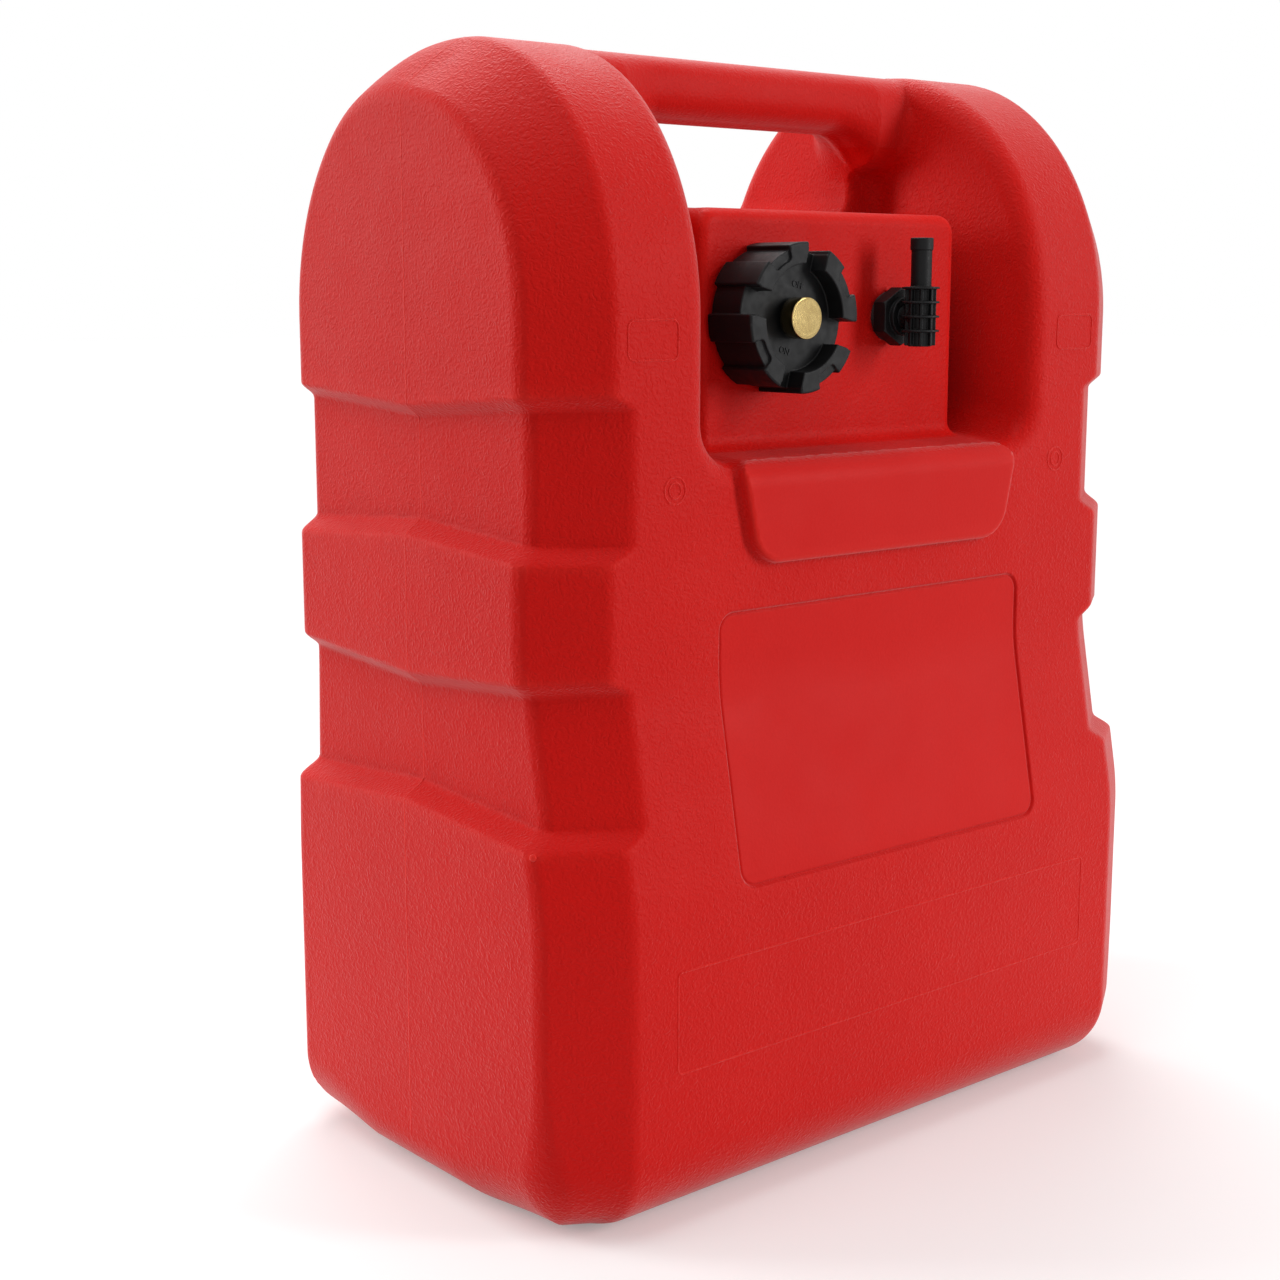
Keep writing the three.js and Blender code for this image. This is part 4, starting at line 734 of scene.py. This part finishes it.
finishes = {
    "red_plastic": grained_red("red_plastic"),
    "black_plastic": moulded_black(),
    "brass": turned_brass(),
    "rubber": plain("rubber", rgb(34, 34, 35), rgb(24, 24, 25), 0.72, 0.00005),
    "white_plastic": plain("white_plastic", rgb(224, 221, 211), rgb(208, 204, 192), 0.46, 0.00004),
    "steel": plain("steel", rgb(186, 188, 192), rgb(160, 162, 166), 0.32, 0.00002, 1.0),
}
for entry in frame["record"]["subparts"]:
    for slot in frame["nodes"][entry["node"]].material_slots:
        slot.material = finishes[entry["material_slot"]]
# A shaded copy of the red with little bloom, for the recess under the handle, in place of the shade that
# keeps the back light off it
shaded_red = grained_red("shaded_red", haze=0.05)
red_line = grained_red("red_line", grained=False)
# The pale seam and nub: a paler red that is a painted highlight along them
painted_highlight_line = grained_red("painted_highlight_line", grained=False, wear_and_highlight=(0.5, 1.0))


# The tank

def without_holes(points, faces):
    """The skin's faces, without those that the neck and the outlet pass through."""
    middle = points[faces].mean(1)
    at_panel = middle[:, 1] < -PANEL_DEPTH + WALL + 1
    in_neck = about(middle[:, 0], middle[:, 2], NECK_X, NECK_Z)[2] < (NECK_RADIUS + NECK_BORE) / 2
    in_port = about(middle[:, 0], middle[:, 2], OUTLET_X, OUTLET_Z)[2] < (PORT_BOSS + PORT_RADIUS) / 2
    return faces[~(at_panel & (in_neck | in_port))]


def beside_label(x, y, z):
    """How far a place on the front lies from the outline of the label field."""
    return np.where(y < -FACE_DEPTH + 12, np.abs(label_outline(x, z)), np.inf)


def sheltered(x, y, z):
    """Whether a place lies in the recess under the handle, which the panel and handle shade from the back
    light; there the skin takes a copy of its red with little bloom, which stands in for that shade.
    """
    under_handle = z < HANDLE_TOP - HANDLE_HEIGHT - HANDLE_COVE
    return (recess(x, y, z + 4) < -1.5) & (y > -FACE_DEPTH + 4) & under_handle


def note_wear_and_shade(mesh, places, normal):
    """Notes on the skin how strong its grain is, where its edges are paler (partly rubbed wear, partly a
    painted highlight) and where shade is painted in hollows and beside the label.
    """
    x, y, z = places.T
    # curve is above zero on outer edges and below zero in hollows
    outward, sideways = 3, 4  # how far from the skin the form is looked at
    along = tank(*(places + normal * outward).T) + tank(*(places - normal * outward).T)
    offsets = np.concatenate([np.eye(3), -np.eye(3)]) * sideways
    curve = sum(tank(*(places + offset).T) for offset in offsets) - 2 * along
    on_label = np.where(y < -FACE_DEPTH / 2, ease(0.5 - label_outline(x, z) / 6), 0)
    at_plate = (y < -FACE_DEPTH - 1) & (z < RECESS_FOOT + 12)
    on_plate = np.where(at_plate, ease(0.5 - plate_outline(x, z) / 6), 0)
    in_recess = ease(-recess(x, y, z) / 6)
    note(mesh, "grain", (1 - 0.85 * np.maximum(on_label, on_plate)) * (1 - 0.45 * in_recess))
    # edge: paler convex edges, partly rubbed wear and partly a painted highlight
    note(mesh, "edge", ease((curve - 0.5) / 6))
    # hollow: where shade is painted, in hollows and beside the label's outline
    note(mesh, "hollow", np.maximum(ease((-curve - 0.5) / 6), 0.8 * ease(1.6 - beside_label(x, y, z))))


def tank_skin():
    """The outside of the can, fine beside the label field, with its red and, in the recess under the
    handle, a copy with little bloom that stands in for the shade there.
    """
    points, faces = surface_net(tank, *SKIN_BOX, SKIN_CELL)
    mesh = made_mesh("skin", points, without_holes(points, faces), finishes["red_plastic"])
    mesh = refined(thinned(mesh, SKIN_TRIANGLES), tank, beside_label, GROOVE_BAND, GROOVE_EDGE)
    middles = np.empty(3 * len(mesh.polygons))
    mesh.polygons.foreach_get("center", middles)
    middles = middles.reshape(-1, 3) / MM - [0, MOULD_Y, 0]
    # The recess's faces take the low-bloom copy of the red, standing in for shade
    mesh.materials.append(shaded_red)
    mesh.polygons.foreach_set("material_index", sheltered(*middles.T).astype(np.int32))
    places, normal = shade_by(mesh, tank)
    note_wear_and_shade(mesh, places, normal)
    return mesh


def tank_inside():
    points, faces = surface_net(cavity, *INSIDE_BOX, INSIDE_CELL)
    return made_mesh("inside", points, without_holes(points, faces), red_line)


def joined(name, *meshes):
    """One mesh from several, with their own materials, normals and notes kept."""
    holders = [bpy.data.objects.new(mesh.name, mesh) for mesh in meshes]
    for holder in holders:
        bpy.context.scene.collection.objects.link(holder)
    with bpy.context.temp_override(active_object=holders[0], selected_editable_objects=holders):
        bpy.ops.object.join()
    mesh = holders[0].data
    mesh.name = name
    bpy.data.objects.remove(holders[0])
    return mesh


def form_mesh(name, form, box, cell, material, most=10**9):
    """A form drawn in a box, thinned, and shaded by its own normals."""
    points, faces = surface_net(form, *box, cell)
    mesh = thinned(made_mesh(name, points, faces, material), most)
    shade_by(mesh, form, cell / 8)
    return mesh


def round_box(x, z, radius, back, front):
    """A box round an axis, between two distances out from the panel."""
    return (x - radius, -PANEL_DEPTH - front, z - radius), (x + radius, -PANEL_DEPTH - back, z + radius)


neck_box = round_box(NECK_X, NECK_Z, 28, -5, 13)
boss_box = round_box(OUTLET_X, OUTLET_Z, 15, -11, 1)
neck_mesh = form_mesh("neck", neck, neck_box, NECK_CELL, red_line, NECK_TRIANGLES)
boss_mesh = form_mesh("boss", port_boss, boss_box, BOSS_CELL, red_line)
skin = joined("tank_skin", tank_skin(), tank_inside(), neck_mesh, boss_mesh)
placed("tank_skin", skin, "tank", "red_plastic", "tank_shell")


def bead(name, path, width, height, closed=True, material=red_line):
    """A low round-backed line on the skin, along a path on it."""
    points = np.asarray(path)
    normal = slopes(tank, points, 0.2)[1]
    normal /= np.linalg.norm(normal, axis=1)[:, None]
    along = np.roll(points, -1, 0) - np.roll(points, 1, 0) if closed else np.gradient(points, axis=0)
    side = np.cross(normal, along)
    side /= np.linalg.norm(side, axis=1)[:, None]
    dip = 0.25  # how far the edges turn into the skin, as an angle
    angles = np.linspace(-dip, math.pi + dip, 7)
    rise = np.full(len(points), float(height))
    if not closed:
        rise[[0, -1]] = 0
    rings = points[:, None] + side[:, None] * (width / 2 * np.cos(angles))[:, None]
    rings = rings + normal[:, None] * np.sin(angles)[:, None] * rise[:, None, None]
    n, k = len(points), len(angles)
    faces = [
        (i * k + j, (i + 1) % n * k + j, (i + 1) % n * k + j + 1, i * k + j + 1)
        for i in range(n if closed else n - 1) for j in range(k - 1)
    ]
    mesh = made_mesh(name, rings.reshape(-1, 3), faces, material)
    placed(name, mesh, "tank", "red_plastic")


def on_front(x, z):
    """The places on the tank's front at those levels, the first met from in front."""
    reach = np.arange(-FACE_DEPTH - FRONT_FLARE - 2, -PANEL_DEPTH, 0.5)
    x, y, z = np.broadcast_arrays(x[:, None], reach, z[:, None])
    first = np.argmax(tank(x, y, z) < 0, 1)
    points = np.stack([x[:, 0], reach[first], z[:, 0]], 1)
    return pulled(tank, points, 1.0, 3)


def circle(x, z, radius, count=48):
    """A circle on the front."""
    angles = np.linspace(0, 2 * math.pi, count, endpoint=False)
    return on_front(x + radius * np.cos(angles), z + radius * np.sin(angles))


def rounded_frame(x, z, half_wide, half_high, corner, pitch=1.5):
    """A rectangle with round corners, on the front."""
    path = []
    for turn, (sx, sz) in enumerate([(1, 1), (-1, 1), (-1, -1), (1, -1)]):
        middle = np.array([x + sx * (half_wide - corner), z + sz * (half_high - corner)])
        for a in np.linspace(turn, turn + 1, 7) * math.pi / 2:
            path.append(middle + corner * np.array([math.cos(a), math.sin(a)]))
    path = np.array(path + path[:1])
    lengths = np.concatenate([[0], np.cumsum(np.linalg.norm(np.diff(path, axis=0), axis=1))])
    steps = np.linspace(0, lengths[-1], int(lengths[-1] / pitch), endpoint=False)
    across, up = [np.interp(steps, lengths, path[:, i]) for i in (0, 1)]
    return on_front(across, up)


def parting_line(pitch=2.0):
    """The outline of the can on the parting plane, from one foot over the top to the other."""
    angles = np.radians(np.linspace(-146, 146, 2400)) + math.pi / 2
    reach = np.arange(60.0, 340.0, 1.0)
    middle = np.array([0.0, 0.0, BODY_TOP / 2])
    ray = np.stack([np.cos(angles), np.zeros_like(angles), np.sin(angles)], 1)
    places = middle + ray[:, None] * reach[None, :, None]
    inside = values(tank, places.reshape(-1, 3)).reshape(len(angles), -1) < 0
    last = len(reach) - 1 - np.argmax(inside[:, ::-1], 1)
    path = middle + ray * reach[last][:, None]
    path = pulled(tank, path, 2.0, 4)
    path = path[path[:, 2] > END_FOOT]
    lengths = np.concatenate([[0], np.cumsum(np.linalg.norm(np.diff(path, axis=0), axis=1))])
    steps = np.arange(0, lengths[-1], pitch)
    return np.stack([np.interp(steps, lengths, path[:, i]) for i in range(3)], 1)


def nub(name, near, radius, height, rings=6, spokes=20):
    """A low round nub on the skin, at the place nearest to that one."""
    place = pulled(tank, np.array([near]), 2.0, 4)
    out = slopes(tank, place, 0.2)[1][0]
    out /= np.linalg.norm(out)
    side = np.cross(out, (0.0, 0.0, 1.0))
    side /= np.linalg.norm(side)
    rise = np.cross(out, side)
    angles = np.arange(spokes) * 2 * math.pi / spokes
    points = [place[0] + out * height]
    for lean in np.arange(1, rings + 1) * math.radians(110) / rings:
        reach, lift = radius * math.sin(lean), height * math.cos(lean)
        spokes_out = [side * math.cos(a) + rise * math.sin(a) for a in angles]
        points += [place[0] + reach * spoke + lift * out for spoke in spokes_out]
    faces = [(0, 1 + j, 1 + (j + 1) % spokes) for j in range(spokes)]
    for i in range(rings - 1):
        for j in range(spokes):
            a, b = 1 + i * spokes + j, 1 + i * spokes + (j + 1) % spokes
            faces += [(a, a + spokes, b + spokes), (a, b + spokes, b)]
    placed(name, made_mesh(name, points, faces, painted_highlight_line), "tank", "red_plastic")


nub("nub", NUB, NUB_RADIUS, NUB_HEIGHT)
# The seam bead's paleness is a painted highlight
bead("parting_line", parting_line(), SEAM_WIDTH, SEAM_HEIGHT, closed=False, material=painted_highlight_line)
for i, (x, z, radius) in enumerate(ROUND_MARKS):
    bead(f"round_mark_{i}", circle(x, z, radius), 0.9, 0.3)
for i, (sizes, height) in enumerate(zip(FRAMES, FRAME_HEIGHTS)):
    bead(f"frame_line_{i}", rounded_frame(*sizes), 0.9, height)


# The cap and the vent screw

cap_box = round_box(NECK_X, NECK_Z, 33, 1, 29)
cap_mesh = form_mesh("filler_cap", cap, cap_box, CAP_CELL, finishes["black_plastic"], CAP_TRIANGLES)
placed("cap_body", cap_mesh, "cap", "black_plastic", "filler_cap")


def word(text, angle):
    """A raised word on the floor of the cap's dish, upright when the first notch is at the top."""
    letters = bpy.data.curves.new(text, "FONT")
    letters.body, letters.size, letters.extrude = text, WORD_SIZE, WORD_RISE
    letters.align_x, letters.align_y, letters.resolution_u = "CENTER", "CENTER", 3
    holder = bpy.data.objects.new(text, letters)
    bpy.context.scene.collection.objects.link(holder)
    mesh = bpy.data.meshes.new_from_object(holder.evaluated_get(bpy.context.evaluated_depsgraph_get()))
    bpy.data.objects.remove(holder)
    places = np.empty(3 * len(mesh.vertices))
    mesh.vertices.foreach_get("co", places)
    flat = places.reshape(-1, 3)
    lean = math.radians(FIRST_NOTCH - 90)
    middle = math.radians(angle)
    x = NECK_X + WORD_REACH * math.cos(middle) + flat[:, 0] * math.cos(lean) - flat[:, 1] * math.sin(lean)
    z = NECK_Z + WORD_REACH * math.sin(middle) + flat[:, 0] * math.sin(lean) + flat[:, 1] * math.cos(lean)
    y = -PANEL_DEPTH - DISH_FLOOR - flat[:, 2] + MOULD_Y
    mesh.vertices.foreach_set("co", (np.stack([x, y, z], 1) * MM).ravel())
    mesh.materials.clear()
    mesh.materials.append(finishes["black_plastic"])
    placed("word_" + text.lower(), mesh, "cap", "black_plastic")


word("OFF", FIRST_NOTCH)
word("ON", FIRST_NOTCH + 180)


def turned(name, outline, material, segments=96):
    """A closed turned piece on the neck's axis, from an outline of radius and distance from the panel."""
    angles = np.arange(segments) * 2 * math.pi / segments
    points = [
        (NECK_X + r * math.cos(a), -PANEL_DEPTH - out, NECK_Z + r * math.sin(a))
        for r, out in outline for a in angles
    ]
    faces = [
        (i * segments + j, i * segments + (j + 1) % segments, (i + 1) * segments + (j + 1) % segments,
         (i + 1) * segments + j)
        for i in range(len(outline) - 1) for j in range(segments)
    ]
    return made_mesh(name, points, faces, material)


def vent_screw():
    low, high = [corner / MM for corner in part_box("vent_screw")]
    shank_end = -PANEL_DEPTH - (high[1] - MOULD_Y)
    edge = [(SCREW_RADIUS - SCREW_EDGE * (1 - math.sin(a)), SCREW_FRONT - SCREW_EDGE * (1 - math.cos(a)))
            for a in np.linspace(0, math.pi / 2, 5)]
    rings = [(r, SCREW_FRONT) for r in np.linspace(0.05, SCREW_RADIUS - SCREW_EDGE - 0.01, 8)]
    outline = rings + edge + [
        (SCREW_RADIUS, SCREW_BACK + 0.3), (SCREW_RADIUS - 0.3, SCREW_BACK), (SHANK_RADIUS, SCREW_BACK),
        (SHANK_RADIUS, shank_end), (0.05, shank_end),
    ]
    mesh = turned("vent_knob", outline, finishes["brass"])
    placed("vent_knob", mesh, "vent", "brass", "vent_screw")


vent_screw()


# The outlet

outlet_box = (
    (OUTLET_X - 13.5, -PANEL_DEPTH - 30, OUTLET_Z - 14),
    (OUTLET_X + 13.5, -PANEL_DEPTH + 26, OUTLET_Z + 36),
)
outlet_mesh = form_mesh(
    "outlet", outlet, outlet_box, OUTLET_CELL, finishes["black_plastic"], OUTLET_TRIANGLES
)
placed("hose_elbow", outlet_mesh, "tank", "black_plastic", "outlet_elbow")
washer_box = round_box(OUTLET_X, OUTLET_Z, WASHER_RADIUS + 1, -1, HEX_BACK + 1)
washer_mesh = form_mesh("washer", washer, washer_box, OUTLET_CELL, finishes["rubber"])
placed("outlet_washer", washer_mesh, "tank", "rubber", "outlet_gasket")


# Floor, lights and camera

def stage_floor():
    """A pale floor for the shadow, which fades into the white all round."""
    n = Nodes("floor")
    n.set(Roughness=0.9, Specular_IOR_Level=0.1)
    far = n.add("ShaderNodeVectorMath", {0: n.place}, operation="LENGTH").outputs["Value"]
    far = n.ramp(far, 0.5, 1.8)
    n.link(n.mix(far, (0.8, 0.8, 0.8, 1), (0, 0, 0, 1)), "Base Color")
    ray = n.add("ShaderNodeLightPath").outputs
    seen = n.math("MAXIMUM", ray["Is Camera Ray"], ray["Is Glossy Ray"])
    seen = n.math("MAXIMUM", seen, ray["Is Transmission Ray"])
    n.shader.inputs["Emission Color"].default_value = (1, 1, 1, 1)
    n.link(n.math("MULTIPLY", seen, n.ramp(far, 0.0, 1.0, 0.25, 1.0)), "Emission Strength")
    size = 14.0
    corners = [(-size, -size, 0), (size, -size, 0), (size, size, 0), (-size, size, 0)]
    mesh = bpy.data.meshes.new("floor")
    mesh.from_pydata(corners, [], [(0, 1, 2, 3)])
    mesh.materials.append(n.material)
    floor = bpy.data.objects.new("floor", mesh)
    bpy.context.scene.collection.objects.link(floor)


def softbox(name, place, size, power, target=(0, 0, 0.25)):
    """A rectangular light that faces the target."""
    data = bpy.data.lights.new(name, "AREA")
    data.shape, data.size, data.size_y, data.energy = "RECTANGLE", size[0], size[1], power
    light = bpy.data.objects.new(name, data)
    light.location = place
    x, y, z = np.array(target) - np.array(place)
    light.rotation_euler = (math.pi / 2 + math.atan2(z, math.hypot(x, y)), 0, -math.atan2(x, y))
    bpy.context.scene.collection.objects.link(light)


def sky():
    """Dim grey light from all round, behind which the camera and reflections see plain white."""
    world = bpy.data.worlds.new("studio")
    world.use_nodes = True
    nodes, links = world.node_tree.nodes, world.node_tree.links
    path = nodes.new("ShaderNodeLightPath")
    seen = path.outputs["Is Camera Ray"]
    for other in ("Is Glossy Ray", "Is Transmission Ray"):
        either_ray = nodes.new("ShaderNodeMath")
        either_ray.operation = "MAXIMUM"
        links.new(seen, either_ray.inputs[0])
        links.new(path.outputs[other], either_ray.inputs[1])
        seen = either_ray.outputs[0]
    strength = nodes.new("ShaderNodeMapRange")
    strength.inputs["To Min"].default_value = SKY_LIGHT
    strength.inputs["To Max"].default_value = 1.0
    links.new(seen, strength.inputs["Value"])
    links.new(strength.outputs["Result"], nodes["Background"].inputs["Strength"])
    nodes["Background"].inputs["Color"].default_value = (1, 1, 1, 1)
    bpy.context.scene.world = world


sky()
stage_floor()
softbox("right_front", (1.3, -1.92, 0.9), (0.5, 1.5), 29)
softbox("left_back", (-1.62, 1.6, 1.0), (0.7, 1.5), 27)
softbox("back", (0.6, 1.1, 2.2), (1.6, 1.2), 26)
softbox("overhead", (-0.8, -0.1, 2.1), (1.2, 1.2), 11)
bpy.context.scene.view_settings.view_transform = "Standard"

# The camera's place in metres, heading, tilt and focal length come from the photograph's edges
camera = bpy.data.objects.new("camera", bpy.data.cameras.new("camera"))
camera.location = (-0.6561, -0.7003, 0.3932)
camera.rotation_euler = (math.radians(90 - 9.948), 0, -math.radians(40.326))
camera.data.sensor_width = 36
camera.data.lens = 56.09
bpy.context.scene.collection.objects.link(camera)
bpy.context.scene.camera = camera
